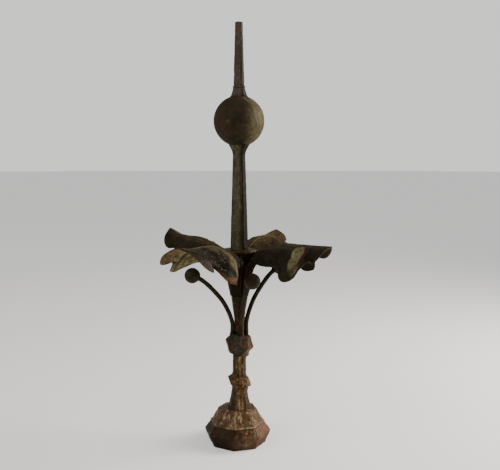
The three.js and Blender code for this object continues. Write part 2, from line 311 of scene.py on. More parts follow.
def skin(name: str, node: str, rings: Array, marks: Marks, finish: "Finish", end: End = End.POLE) -> Piece:
    """A closed mesh over rings of points, in the place of a CAD node.

    Each ring is joined to the next by four-sided faces.

    Args:
        name: The piece's name.
        node: The node that it stands for.
        rings: Places in millimetres, (rings, points, 3), with the points counter-clockwise as seen
            from the last ring's side.
        marks: Values for each point, kept as attributes for the material.
        finish: Its finish.
        end: How the first and the last ring are shut.

    Returns:
        The new object, shaded smooth.
    """
    rows, count = rings.shape[:2]
    index = np.arange(rows * count).reshape(rows, count)
    beside = np.roll(index, -1, axis=1)
    quads = [np.stack([index[:-1], beside[:-1], beside[1:], index[1:]], axis=-1).reshape(-1, 4)]
    points, fans = rings.reshape(-1, 3), []
    extra = {key: np.zeros(0) for key in marks}
    if end is End.POLE:
        points = np.vstack([points, rings[0].mean(0), rings[-1].mean(0)])
        low, high = np.full(count, rows * count), np.full(count, rows * count + 1)
        fans = [[beside[0], index[0], low], [index[-1], beside[-1], high]]
        extra = {key: np.array([mark[0].mean(), mark[-1].mean()]) for key, mark in marks.items()}
    elif end is End.LACE:
        near = np.arange(count // 2 - 1)
        far = count - 1 - near
        top = (rows - 1) * count
        quads.append(np.stack([near, far, far - 1, near + 1], axis=-1))
        quads.append(top + np.stack([near, near + 1, far - 1, far], axis=-1))
    else:
        quads.append(np.stack([index[-1], beside[-1], beside[0], index[0]], axis=-1))
    faces = np.vstack(quads).tolist() + [face for fan in fans for face in np.stack(fan, axis=-1).tolist()]
    piece = meshed(name, points, faces)
    for key, mark in marks.items():
        values = np.concatenate([mark.ravel(), extra[key]]).astype(np.float32)
        piece.data.attributes.new(key, "FLOAT", "POINT").data.foreach_set("value", values)
    piece.data.shade_smooth()
    piece.data.materials.append(finish.material())
    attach(piece, BODY)
    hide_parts(node)
    return piece


# Node trees


class Tree:
    """Adds nodes to one tree: an input given as a socket is linked, and any other is set."""

    def __init__(self, tree: bpy.types.NodeTree) -> None:
        """Keeps the tree and clears it."""
        self.tree = tree
        tree.nodes.clear()

    def add(self, kind: str, inputs: dict, **settings: object) -> bpy.types.Node:
        """A new node.

        Args:
            kind: The type of node, without the word for a shader's node.
            inputs: Values or sockets by input name or number.
            settings: The node's own properties.

        Returns:
            The node.
        """
        node = self.tree.nodes.new(kind if kind.startswith("NodeGroup") else f"ShaderNode{kind}")
        for key, value in settings.items():
            setattr(node, key, value)
        for key, value in inputs.items():
            if isinstance(value, bpy.types.NodeSocket):
                self.tree.links.new(value, node.inputs[key])
            else:
                node.inputs[key].default_value = value
        return node

    def sums(self, way: str, first: Value, second: Value, clamp: bool = False) -> Socket:
        """The result of a sum such as ADD, SUBTRACT or MAXIMUM."""
        return self.add("Math", {0: first, 1: second}, operation=way, use_clamp=clamp).outputs[0]

    def times(self, *factors: Value) -> Socket:
        """The product of two or more numbers."""
        product = self.sums("MULTIPLY", *factors[:2])
        return self.times(product, *factors[2:]) if factors[2:] else product

    def vectors(self, way: str, first: Value, second: Value = (0.0, 0.0, 0.0)) -> bpy.types.Node:
        """A sum of two vectors."""
        return self.add("VectorMath", {0: first, 1: second}, operation=way)

    def blend(self, mask: Value, under: Value, over: Value) -> Socket:
        """The colour under, covered by the colour over where the mask is 1."""
        return self.add("Mix", {0: mask, 6: under, 7: over}, data_type="RGBA").outputs[2]

    def layers(self, paint: Value, coats: list[tuple[Value, Value]]) -> Socket:
        """A colour with coats on it.

        Args:
            paint: The colour below.
            coats: A mask and a colour for each coat, from the lowest up.

        Returns:
            The colour of the whole.
        """
        for mask, over in coats:
            paint = self.blend(mask, paint, over)
        return paint

    def between(self, share: Value, low: Value, high: Value) -> Socket:
        """A number from low to high as the share goes from 0 to 1."""
        return self.add("MapRange", {0: share, 3: low, 4: high}).outputs[0]

    def step(self, value: Value, low: Value, high: Value) -> Socket:
        """A smooth step from 0 at low to 1 at high."""
        return self.add("MapRange", {0: value, 1: low, 2: high}, interpolation_type="SMOOTHSTEP").outputs[0]

    def cut(self, value: Value, level: Socket, before: Value, after: Value) -> Socket:
        """A smooth step that starts a way before a level and ends a way after it."""
        return self.step(value, self.sums("SUBTRACT", level, before), self.sums("ADD", level, after))

    def noise(
        self, vector: Socket, scale: Value, detail: float, rough: float = 0.5, bent: float = 0.0
    ) -> Socket:
        """Noise about as coarse as the scale says, roughened by finer noise and bent by its own."""
        inputs = {"Vector": vector, "Scale": scale, "Detail": detail, "Roughness": rough, "Distortion": bent}
        return self.add("TexNoise", inputs).outputs["Fac"]

    def moved(self, given: dict[str, Socket]) -> Socket:
        """Coordinates shifted along all axes by a seed, so that two uses of a pattern differ."""
        return self.vectors("ADD", given["Vector"], given["Seed"]).outputs[0]

    def height(self, place: Socket) -> Socket:
        """The Z of a place."""
        return self.add("SeparateXYZ", {0: place}).outputs["Z"]

    def mark(self, name: str) -> Socket:
        """One of the piece's own marks, which is 0 on a piece without it."""
        return self.add("Attribute", {}, attribute_name=name).outputs["Fac"]


class Effect:
    """A node group with named inputs and outputs, made once and placed in each material."""

    title = "Effect"
    inputs: dict[str, float] = {}
    outputs: tuple[str, ...] = ("Mask",)

    def group(self) -> bpy.types.NodeTree:
        """The group, made on its first use.

        Returns:
            The node group.
        """
        known = bpy.data.node_groups.get(self.title)
        if known:
            return known
        group = bpy.data.node_groups.new(self.title, "ShaderNodeTree")
        tree = Tree(group)
        new_socket = group.interface.new_socket
        new_socket("Vector", in_out="INPUT", socket_type="NodeSocketVector")
        for name, value in self.inputs.items():
            new_socket(name, in_out="INPUT", socket_type="NodeSocketFloat").default_value = value
        for name in self.outputs:
            new_socket(name, in_out="OUTPUT", socket_type="NodeSocketFloat")
        given = tree.add("NodeGroupInput", {}).outputs
        made = self.make(tree, {name: given[name] for name in ("Vector", *self.inputs)})
        tree.add("NodeGroupOutput", dict(zip(self.outputs, made)))
        return group

    def make(self, tree: Tree, given: dict[str, Socket]) -> tuple[Socket, ...]:
        """The nodes of the group; each effect has its own."""
        raise NotImplementedError

    def place(self, tree: Tree, vector: Socket, **values: Value) -> tuple[Socket, ...]:
        """The group in a material, with the inputs that differ from its own: one socket per output."""
        node = tree.add("Group", {"Vector": vector, **values}, node_tree=self.group())
        return tuple(node.outputs[name] for name in self.outputs)


class Blotches(Effect):
    """Ragged patches of one coat on another."""

    title = "Blotches"
    inputs = {"Scale": 20.0, "Cover": 0.5, "Softness": 0.12, "Seed": 0.0}

    def make(self, tree: Tree, given: dict[str, Socket]) -> tuple[Socket, ...]:
        """Noise with much fine detail, cut off at the cover.

        Args:
            tree: The group's tree.
            given: The group's inputs by name.

        Returns:
            One socket for each output.
        """
        noise = tree.noise(tree.moved(given), given["Scale"], 7.0, 0.62, 0.35)
        level = tree.between(given["Cover"], 0.72, 0.28)
        return (tree.cut(noise, level, given["Softness"], given["Softness"]),)


class Runs(Effect):
    """Streaks that water has drawn down the piece."""

    title = "Runs"
    inputs = {"Scale": 130.0, "Cover": 0.4, "Seed": 0.0}

    def make(self, tree: Tree, given: dict[str, Socket]) -> tuple[Socket, ...]:
        """Noise stretched eightfold along Z, broken by rounder noise.

        Args:
            tree: The group's tree.
            given: The group's inputs by name.

        Returns:
            One socket for each output.
        """
        vector = tree.moved(given)
        stretched = tree.add("Mapping", {0: vector, 3: (1.0, 1.0, 0.12)}).outputs[0]
        streak = tree.noise(stretched, given["Scale"], 4.0, 0.6)
        breaks = tree.noise(vector, tree.times(given["Scale"], 0.45), 5.0)
        both = tree.sums("ADD", streak, tree.between(breaks, -0.12, 0.12))
        return (tree.cut(both, tree.between(given["Cover"], 0.72, 0.34), 0.0, 0.14),)


class WornEdge(Effect):
    """The worn line along an arris or rim, broken as the edge was knocked or sheltered."""

    title = "Worn edge"
    inputs = {"Edge": 0.0, "Scale": 90.0, "Wear": 0.5, "Seed": 0.0}

    def make(self, tree: Tree, given: dict[str, Socket]) -> tuple[Socket, ...]:
        """The edge mark plus noise, cut off by the wear.

        Args:
            tree: The group's tree.
            given: The group's inputs by name.

        Returns:
            One socket for each output.
        """
        noise = tree.noise(tree.moved(given), given["Scale"], 6.0)
        both = tree.sums("ADD", given["Edge"], tree.between(noise, -0.9, 0.9))
        worn = tree.cut(both, tree.between(given["Wear"], 1.15, 0.35), 0.0, 0.35)
        return (tree.times(worn, tree.step(given["Edge"], 0.02, 0.3)),)


class Casting(Effect):
    """The skin of an old casting under paint: fine sand grain, blisters and pits."""

    title = "Casting"
    inputs = {"Grain": 900.0, "Pits": 170.0, "Pitting": 0.4}
    outputs = ("Height", "Pit")

    def make(self, tree: Tree, given: dict[str, Socket]) -> tuple[Socket, ...]:
        """Grain and blisters as noise at two sizes, less a pit at some of the cell centres.

        Args:
            tree: The group's tree.
            given: The group's inputs by name.

        Returns:
            One socket for each output.
        """
        vector = given["Vector"]
        grain = tree.noise(vector, given["Grain"], 3.0, 0.6)
        blisters = tree.noise(vector, tree.times(given["Grain"], 0.22), 5.0)
        cells = tree.add("TexVoronoi", {"Vector": vector, "Scale": given["Pits"]}).outputs
        chosen = tree.step(cells["Color"], 0.62, 0.7)
        pit = tree.times(tree.step(cells["Distance"], 0.34, 0.1), chosen, given["Pitting"])
        rough = tree.sums("ADD", tree.times(grain, 0.25), tree.times(blisters, 0.75))
        return (tree.sums("SUBTRACT", rough, pit), pit)


class OneSide(Effect):
    """The side of an upright piece that faces one way, with a ragged border."""

    title = "One side"
    inputs = {"East": 1.0, "North": 0.0, "Reach": 0.5, "Seed": 0.0}

    def make(self, tree: Tree, given: dict[str, Socket]) -> tuple[Socket, ...]:
        """How squarely a place faces the way, from -1 to 1, plus noise, cut off at the reach.

        Args:
            tree: The group's tree.
            given: The group's inputs by name.

        Returns:
            One socket for each output.
        """
        flat = tree.vectors("MULTIPLY", given["Vector"], (1.0, 1.0, 0.0)).outputs[0]
        away = tree.vectors("NORMALIZE", flat).outputs[0]
        towards = tree.add("CombineXYZ", {0: given["East"], 1: given["North"]}).outputs[0]
        facing = tree.vectors("DOT_PRODUCT", away, towards).outputs[1]
        noise = tree.noise(tree.moved(given), 45.0, 6.0)
        both = tree.sums("ADD", facing, tree.between(noise, -0.6, 0.6))
        return (tree.cut(both, tree.between(given["Reach"], 1.0, -1.0), 0.28, 0.28),)


BLOTCHES = Blotches()
RUNS = Runs()
WORN_EDGE = WornEdge()
CASTING = Casting()
ONE_SIDE = OneSide()


# Finishes


def colour(red: float, green: float, blue: float) -> Colour:
    """A colour from screen values of 0 to 255, as the light that they stand for."""
    parts = (np.array([red, green, blue]) / 255 + 0.055) / 1.055
    return (*(parts**2.4).tolist(), 1.0)


@dataclass(frozen=True)
class Side:
    """A coat on the side that faces a bearing in degrees, below a height in metres. Some are paint colours,
    others painted highlights and painted shade.
    """

    colour: Colour
    bearing: float
    reach: float
    strength: float = 0.8
    top: float = OUT_OF_REACH

    def mask(self, tree: Tree, place: Socket, seed: float) -> Socket:
        """Where the coat lies.

        Args:
            tree: The material's tree.
            place: Object coordinates.
            seed: Picks the border.

        Returns:
            The mask.
        """
        angle = math.radians(self.bearing)
        way = {"East": math.cos(angle), "North": math.sin(angle)}
        (side,) = ONE_SIDE.place(tree, place, **way, Reach=self.reach, Seed=seed)
        low = tree.step(tree.height(place), self.top + 0.003, self.top - 0.003)
        return tree.times(side, low, self.strength)


@dataclass(frozen=True, kw_only=True)
class Finish:
    """Old paint on iron, with painted shade in its hollows and painted light on some sides. The fields are
    its colours and how far each of them reaches.
    """

    name: str
    slot: Slot
    dark: Colour
    brown: Colour
    olive: Colour
    worn: Colour
    rust: Colour
    pale: Colour
    sound: Colour = colour(42, 33, 22)
    # Real dirt mottled over the sound paint, and painted shade darkening hollows, creases, dents, seams and
    # leaf roots
    grime_and_shade: Colour = (0.009, 0.007, 0.005, 1.0)
    brown_cover: float = 0.5
    olive_cover: float = 0.4
    fleck_cover: float = 0.2
    mottling: float = 0.6
    rust_cover: float = 0.15
    pale_cover: float = 0.15
    wear: float = 0.12
    gloss: float = 0.46
    matt: float = 0.75
    shine: float = 0.11
    sheen: Colour = (1.0, 0.92, 0.78, 1.0)
    relief: float = 0.0012
    painted_from: float = OUT_OF_REACH
    seed: float = 0.0
    sides: tuple[Side, ...] = ()

    def material(self) -> bpy.types.Material:
        """The finished material, made on its first use.

        Returns:
            The material.
        """
        known = bpy.data.materials.get(self.name)
        if known:
            return known
        material = bpy.data.materials.new(self.name)
        material.use_nodes = True
        tree = Tree(material.node_tree)
        place = tree.add("TexCoord", {}).outputs["Object"]
        edge = tree.sums("MAXIMUM", tree.mark("arris"), tree.mark("edge"))
        paint, rough = self.coats(tree, place)
        (worn,) = WORN_EDGE.place(tree, place, Edge=edge, Wear=self.wear, Seed=self.seed)
        height, pit = CASTING.place(tree, place)
        level = tree.sums("SUBTRACT", height, tree.times(worn, 0.35))
        bumps = tree.add("Bump", {"Strength": 0.7, "Distance": self.relief, "Height": level})
        inputs = {
            "Base Color": tree.layers(paint, [(worn, self.worn), (pit, self.dark)]),
            "Roughness": tree.sums("ADD", rough, tree.times(worn, 0.1), clamp=True),
            "Normal": bumps.outputs["Normal"],
            "Metallic": 0.0,
            # No sheen on the leaves' roots, so they stay dark as painted shade
            "Specular IOR Level": tree.times(tree.sums("SUBTRACT", 1.0, tree.mark("root")), self.shine),
            "Specular Tint": self.sheen,
        }
        tree.add("OutputMaterial", {"Surface": tree.add("BsdfPrincipled", inputs).outputs[0]})
        return material

    def blotches(
        self, tree: Tree, place: Socket, number: int, scale: float, cover: float, soft: float
    ) -> Socket:
        """The mask of one blotched coat, whose seed is the finish's own plus its number."""
        values = {"Scale": scale, "Cover": cover, "Softness": soft, "Seed": self.seed + number}
        return BLOTCHES.place(tree, place, **values)[0]

    def runs(self, tree: Tree, place: Socket, number: int, scale: float, cover: float) -> Socket:
        """The mask of one coat in streaks."""
        return RUNS.place(tree, place, Scale=scale, Cover=cover, Seed=self.seed + number)[0]

    def coats(self, tree: Tree, place: Socket) -> tuple[Socket, Socket]:
        """The coats from the lowest up.

        Args:
            tree: The material's tree.
            place: Object coordinates.

        Returns:
            The colour and the roughness.
        """
        brown = self.blotches(tree, place, 1, 14.0, self.brown_cover, 0.12)
        olive = self.blotches(tree, place, 2, 32.0, self.olive_cover, 0.12)
        rust = self.blotches(tree, place, 3, 75.0, self.rust_cover, 0.06)
        pale = self.runs(tree, place, 4, 130.0, self.pale_cover)
        speck = self.blotches(tree, place, 5, 420.0, 0.5, 0.3)
        mottle = self.blotches(tree, place, 6, 110.0, 0.5, 0.16)
        fleck = self.blotches(tree, place, 9, 150.0, self.fleck_cover, 0.1)
        damp = self.runs(tree, place, 10, 85.0, 0.5)
        drip = self.runs(tree, place, 13, 90.0, 0.5)
        seeds = [self.seed + 20 + i for i in range(len(self.sides))]
        sides = [(side.mask(tree, place, seed), side.colour) for side, seed in zip(self.sides, seeds)]
        coats = [
            (brown, self.brown),
            (olive, self.olive),
            (rust, self.rust),
            (tree.times(damp, self.mottling), self.dark),
            (tree.times(fleck, 0.7), self.pale),
            (tree.times(pale, 0.8), self.pale),
            *sides,
            (tree.times(mottle, self.mottling), self.dark),
            (tree.times(speck, 0.35), self.dark),
            # Painted shade: the hollow mark darkens concave corners, creases, dents and joints
            (tree.times(tree.mark("hollow"), 0.75), self.grime_and_shade),
            (tree.times(drip, tree.mark("drip"), 0.7), self.pale),
            (tree.times(tree.mark("scuff"), tree.between(mottle, 1.0, 0.1)), self.worn),
        ]
        if self.painted_from < OUT_OF_REACH:
            ragged = tree.sums("ADD", tree.height(place), tree.between(olive, 0.025, -0.025))
            sound = tree.step(ragged, self.painted_from - 0.03, self.painted_from + 0.03)
            over = [(tree.times(mottle, 0.6), self.grime_and_shade), (tree.times(rust, 0.35), self.rust)]
            coats.append((sound, tree.layers(self.sound, over)))
        rough = tree.sums("ADD", tree.sums("MAXIMUM", rust, pale), tree.times(speck, 0.3))
        return tree.layers(self.dark, coats), tree.between(rough, self.gloss, self.matt)


@dataclass(frozen=True, kw_only=True)
class LeafFinish(Finish):
    """Old paint on a leaf, with its own colours on the crest, in the cups, on their lips and below, some of
    them painted highlights and painted shade.
    """

    crest: Colour
    cup: Colour
    lip: Colour
    low_lip: Colour
    slit: Colour
    under: Colour
    under_tip: Colour

    def coats(self, tree: Tree, place: Socket) -> tuple[Socket, Socket]:
        """The common coats, then the leaf's own colours where its marks are strong.

        Args:
            tree: The material's tree.
            place: Object coordinates.

        Returns:
            The colour and the roughness.
        """
        paint, rough = super().coats(tree, place)
        ragged = self.blotches(tree, place, 7, 50.0, 0.62, 0.16)
        fine = self.blotches(tree, place, 8, 120.0, 0.78, 0.2)
        grit = self.blotches(tree, place, 12, 260.0, 0.2, 0.05)
        dirt = self.blotches(tree, place, 14, 170.0, 0.42, 0.1)
        lip = tree.times(tree.mark("lip"), tree.sums("MAXIMUM", fine, ragged))
        # Painted shade along the cup's seam and at the root, where the leaves crowd round the bell
        dark = tree.sums("MAXIMUM", tree.mark("seam"), tree.mark("root"))
        below = tree.blend(tree.mark("tip"), self.under, self.under_tip)
        coats = [
            (tree.times(tree.mark("under"), ragged, 0.85), below),
            # Painted highlight along the raised crest and reeds
            (tree.times(tree.mark("vein"), ragged, 0.8), self.crest),
            (tree.times(tree.mark("cup"), fine), self.cup),
            (tree.times(tree.mark("cup"), grit), self.pale),
            (lip, tree.blend(tree.mark("low"), self.lip, self.low_lip)),
            (tree.times(dirt, lip, 0.65), self.dark),
            (tree.times(tree.mark("slit"), ragged), self.slit),
            (tree.times(dark, 0.6), self.grime_and_shade),
        ]
        return tree.layers(paint, coats), rough


OLD_PAINT = Finish(
    name="old_olive_black_paint",
    slot=Slot.PAINTED,
    dark=colour(32, 27, 18),
    brown=colour(55, 44, 31),
    olive=colour(66, 60, 41),
    worn=colour(94, 85, 62),
    rust=colour(70, 47, 31),
    pale=colour(86, 82, 60),
    mottling=0.5,
    wear=0.35,
    relief=0.0006,
)
MAST_PAINT = replace(
    OLD_PAINT,
    name="mast_paint",
    gloss=0.5,
    shine=0.1,
    seed=3.0,
    # A pale khaki sheen on the left-front facet as a painted highlight, and painted shade on the right-hand
    # facets
    sides=(
        Side(colour(114, 108, 84), -82, 0.11, 0.85),
        Side(colour(30, 27, 20), 20, 0.38, 0.7),
        Side(colour(4, 3, 2), 45, 0.29, 1.0),
    ),
)
SPIKE_PAINT = replace(
    OLD_PAINT,
    name="spike_paint",
    dark=colour(44, 38, 31),
    brown=colour(97, 86, 78),
    olive=colour(91, 85, 75),
    olive_cover=0.3,
    brown_cover=0.7,
    shine=0.1,
    seed=7.0,
    # Painted shade on the spike's right-hand side
    sides=(Side(colour(4, 3, 2), 28, 0.26, 1.0),),
)
BALL_PAINT = replace(
    OLD_PAINT,
    name="ball_paint",
    dark=colour(44, 37, 28),
    brown=colour(74, 57, 44),
    mottling=0.6,
    gloss=0.55,
    seed=5.0,
    # The first side is a painted highlight, pale khaki on the side towards the key lamp; the second is a
    # brown tint on the left
    sides=(Side(colour(110, 102, 70), 34, 0.3, 0.7), Side(colour(72, 50, 34), 215, 0.12, 0.6)),
)
LEAF_PAINT = LeafFinish(
    name="leaf_paint",
    slot=Slot.LEAF,
    dark=colour(26, 21, 14),
    brown=colour(54, 37, 29),
    olive=colour(62, 56, 34),
    worn=colour(108, 92, 60),
    rust=colour(84, 50, 31),
    pale=colour(140, 128, 98),
    rust_cover=0.2,
    fleck_cover=0.1,
    wear=0.32,
    gloss=0.45,
    shine=0.08,
    seed=11.0,
    # A painted highlight along the raised midrib and reeds
    crest=colour(106, 98, 60),
    cup=colour(40, 36, 26),
    lip=colour(84, 72, 48),
    low_lip=colour(84, 56, 40),
    slit=colour(46, 32, 20),
    under=colour(92, 84, 56),
    under_tip=colour(104, 82, 52),
)
LEAF_FRONT_PAINT = replace(
    LEAF_PAINT,
    name="leaf_front_paint",
    brown=colour(58, 38, 26),
    olive=colour(58, 52, 30),
    rust=colour(74, 44, 28),
    # Painted shade in the cup; the pale lip and the bright under face are painted highlights on the lobes
    # that face the light
    cup=colour(22, 23, 17),
    lip=colour(113, 104, 77),
    low_lip=colour(122, 84, 67),
    slit=colour(62, 38, 20),
    under=colour(156, 146, 104),
    under_tip=colour(122, 96, 64),
)
LEAF_RIGHT_PAINT = replace(
    LEAF_PAINT,
    name="leaf_right_paint",
    dark=colour(29, 25, 18),
    brown=colour(60, 46, 38),
    olive=colour(50, 46, 34),
    # The pale cup is a painted highlight on the lobe that faces the key lamp, and the dark under face is
    # painted shade
    cup=colour(118, 114, 81),
    lip=colour(60, 40, 33),
    low_lip=colour(56, 38, 30),
    slit=colour(40, 26, 20),
    under=colour(44, 38, 28),
    under_tip=colour(52, 42, 34),
    seed=13.0,
)
LEAF_BACK_PAINT = replace(
    LEAF_PAINT,
    name="leaf_back_paint",
    brown=colour(78, 54, 34),
    olive=colour(92, 75, 48),
    olive_cover=0.6,
    pale=colour(140, 122, 88),
    pale_cover=0.3,
    seed=17.0,
)
LEAF_LEFT_PAINT = replace(
    LEAF_PAINT,
    name="leaf_left_paint",
    brown=colour(58, 42, 34),
    cup=colour(46, 36, 29),
    lip=colour(62, 46, 36),
    seed=19.0,
)
RUSTED = Finish(
    name="rust_with_runs",
    slot=Slot.RUSTY,
    dark=colour(48, 33, 18),
    brown=colour(114, 82, 48),
    olive=colour(110, 94, 62),
    worn=colour(136, 110, 72),
    rust=colour(114, 72, 36),
    pale=colour(186, 164, 124),
    grime_and_shade=colour(14, 11, 7),
    rust_cover=0.4,
    pale_cover=0.62,
    fleck_cover=0.3,
    mottling=0.7,
    gloss=0.32,
    matt=0.6,
    shine=0.22,
    painted_from=0.33,
    sheen=(1.0, 0.84, 0.6, 1.0),
    seed=23.0,
    # Painted shade on the stem's left-back and right-hand facets, so that its middle looks lit
    sides=(Side(colour(30, 21, 12), 205, 0.3, 0.9), Side(colour(34, 24, 13), 20, 0.21, 0.85)),
)
KNOP_RUST = replace(
    RUSTED,
    name="knop_rust",
    dark=colour(40, 27, 15),
    brown=colour(96, 62, 32),
    olive=colour(84, 66, 40),
    rust=colour(122, 74, 36),
    pale_cover=0.45,
    fleck_cover=0.2,
    wear=0.2,
    painted_from=OUT_OF_REACH,
    seed=29.0,
    sides=(),
)
DARK_KNOP_RUST = replace(
    KNOP_RUST,
    name="dark_knop_rust",
    dark=colour(20, 15, 10),
    brown=colour(46, 34, 23),
    olive=colour(44, 38, 27),
    rust=colour(78, 50, 29),
    pale_cover=0.15,
    fleck_cover=0.08,
    wear=0.12,
    seed=31.0,
    sides=(Side(colour(92, 60, 34), -20, 0.22, 0.7), Side(colour(54, 72, 64), -64, 0.05, 0.85)),
)
PRIMER = Finish(
    name="red_primer_and_brown_paint",
    slot=Slot.PRIMED,
    dark=colour(48, 31, 19),
    brown=colour(108, 80, 58),
    olive=colour(104, 88, 60),
    worn=colour(154, 134, 106),
    rust=colour(104, 58, 42),
    pale=colour(182, 154, 122),
    sheen=(1.0, 0.84, 0.62, 1.0),
    brown_cover=0.6,
    rust_cover=0.28,
    pale_cover=0.42,
    fleck_cover=0.16,
    mottling=0.7,
    wear=0.1,
    gloss=0.3,
    matt=0.55,
    shine=0.17,
    relief=0.0016,
    seed=37.0,
    # Painted shade on the left facets, a painted pink-tan highlight on the right facets, and painted shade
    # in dark red-brown on the red primer low on the front, where the foot turns under
    sides=(
        Side(colour(34, 14, 7), -125, 0.32, 1.0, top=0.06),
        Side(colour(128, 84, 62), 26, 0.24, 0.75, top=0.062),
        Side(colour(78, 34, 22), -28, 0.17, 0.75, top=0.026),
    ),
)


# Pieces


@dataclass
class Foot:
    """The spreading base, a little off the stem's axis, with an undercut ledge round its dome."""

    under_radius: float = 84
    widest_radius: float = 98.5
    widest_height: float = 34
    band: float = 4
    ledge_radius: float = 82
    ledge_height: float = 61
    ledge_rise: float = 5
    undercut: float = 1.2
    shoulder_radius: float = 57
    height: float = 101
    offset: float = 6
    offset_bearing: float = 210

    def profile(self) -> Profile:
        """Underside, outward slope, band, slope to the ledge, dome and shoulder.

        Returns:
            Corner radii and heights, from the bottom up.
        """
        radius, height, cut = self.ledge_radius, self.ledge_height, self.undercut
        return [
            (0.1, 0),
            (self.under_radius, 0),
            (self.widest_radius, self.widest_height),
            (self.widest_radius, self.widest_height + self.band),
            (radius - cut, height - cut * 1.5),
            (radius - cut, height),
            (radius + cut / 3, height + cut / 2),
            (radius + cut / 3, height + cut * 1.5),
            (radius - self.ledge_rise, height + self.ledge_rise),
            (self.shoulder_radius, self.height - 1),
            (self.shoulder_radius * 0.93, self.height),
            (0.1, self.height),
        ]

    def scuffs(self, rings: Array) -> Array:
        """Where pale paint shows: on the ledge's lip, in a run down one hip and low on the front.

        Args:
            rings: Places round the foot's own axis.

        Returns:
            The mark for each point.
        """
        bearing, height = np.degrees(np.arctan2(rings[..., 1], rings[..., 0])), rings[..., 2]
        fall = np.clip((self.height - height) / (self.height - self.ledge_height), 0, 1)
        run = bump(bearing, -64 - 12 * fall, 3 + 7 * fall) * step(height, 64, 67)
        patch = 0.6 * bump(bearing, -44, 17) * bump(height, 18, 11)
        return np.maximum.reduce([run, patch, 0.9 * bump(height, self.ledge_height + 2.6, 2.2)])

    def build(self) -> Piece:
        """The foot's mesh, moved off the axis.

        Returns:
            The piece in the foot's place.
        """
        rings, marks = faceted(self.profile(), ease=1.5, spacing=2.0, chips=1.6, lumps=1.9, seed=3)
        marks["scuff"] = self.scuffs(rings)
        marks["drip"] = step(rings[..., 2], self.ledge_height + 2, self.ledge_height + 12)
        bearing = math.radians(self.offset_bearing)
        rings += np.array([math.cos(bearing), math.sin(bearing), 0]) * self.offset
        return skin("foot_casting", "foot", rings, marks, PRIMER)


@dataclass
class Rods:
    """Where the four stamens' rods stand round the stem's core."""

    radius: float = 6.6
    ring_radius: float = 20.6
    seat_height: float = 266
    seat_step: float = 0.5
    bend_height: float = 352

    def core_radius(self) -> float:
        """Corner radius of the core that leaves the rods their room."""
        return (self.ring_radius - self.radius - GAP) / math.cos(HALF_FACET)


@dataclass
class LowerStem:
    """The stem from the foot to the top of the crown: flare, shaft, core, bell and cap."""

    rods: Rods
    foot_height: float = 101
    length: float = 467
    flare_radius: float = 35
    flare_length: float = 105
    radius: float = 20.4
    bell_radius: float = 24.5
    cap_radius: float = 56
    cap_edge: float = 6
    neck: float = 134

    def profile(self) -> Profile:
        """The outline from the flare up to the cap.

        Returns:
            Corner radii and heights, from the bottom up.
        """
        foot, flare = self.foot_height, self.flare_radius
        core, bend = self.rods.core_radius(), self.rods.bend_height
        crown = foot + self.length
        root = crown - self.neck
        return [
            (flare, foot + GAP),
            (flare * 0.45 + self.radius * 0.55, foot + self.flare_length * 0.31),
            (flare * 0.28 + self.radius * 0.72, foot + self.flare_length * 0.49),
            (self.radius, foot + self.flare_length),
            (self.radius, self.rods.seat_height),
            (core, self.rods.seat_height + self.rods.seat_step),
            (core, bend),
            (core * 0.6 + self.bell_radius * 0.4, bend * 0.6 + root * 0.4),
            (self.bell_radius, bend * 0.08 + root * 0.92),
            (self.bell_radius, root),
            (self.bell_radius * 1.1, root + self.neck * 0.37),
            (self.cap_radius * 0.72, root + self.neck * 0.76),
            (self.cap_radius * 0.87, root + self.neck * 0.9),
            (self.cap_radius, crown - self.cap_edge),
            (self.cap_radius * 0.96, crown),
        ]

    def radius_at(self, height: Array) -> Array:
        """Corner radius of the stem at each height."""
        outline = np.array(self.profile())
        return np.interp(height, outline[:, 1], outline[:, 0])

    def build(self) -> Piece:
        """The stem's mesh, with painted shade on its top, under the mast.

        Returns:
            The piece in the lower stem's place.
        """
        profile = self.profile()
        top = profile[-1][1]
        closed = [(0.1, profile[0][1]), *profile, (0.1, top)]
        rings, marks = faceted(closed, ease=2.5, spacing=2.0, chips=0.6, lumps=0.7, seed=5)
        # Painted shade on the top few millimetres, through the hollow mark
        marks["hollow"] = np.maximum(marks["hollow"], step(rings[..., 2], top - 4, top - 0.5))
        return skin("lower_stem_shaft", "lower_stem", rings, marks, RUSTED)


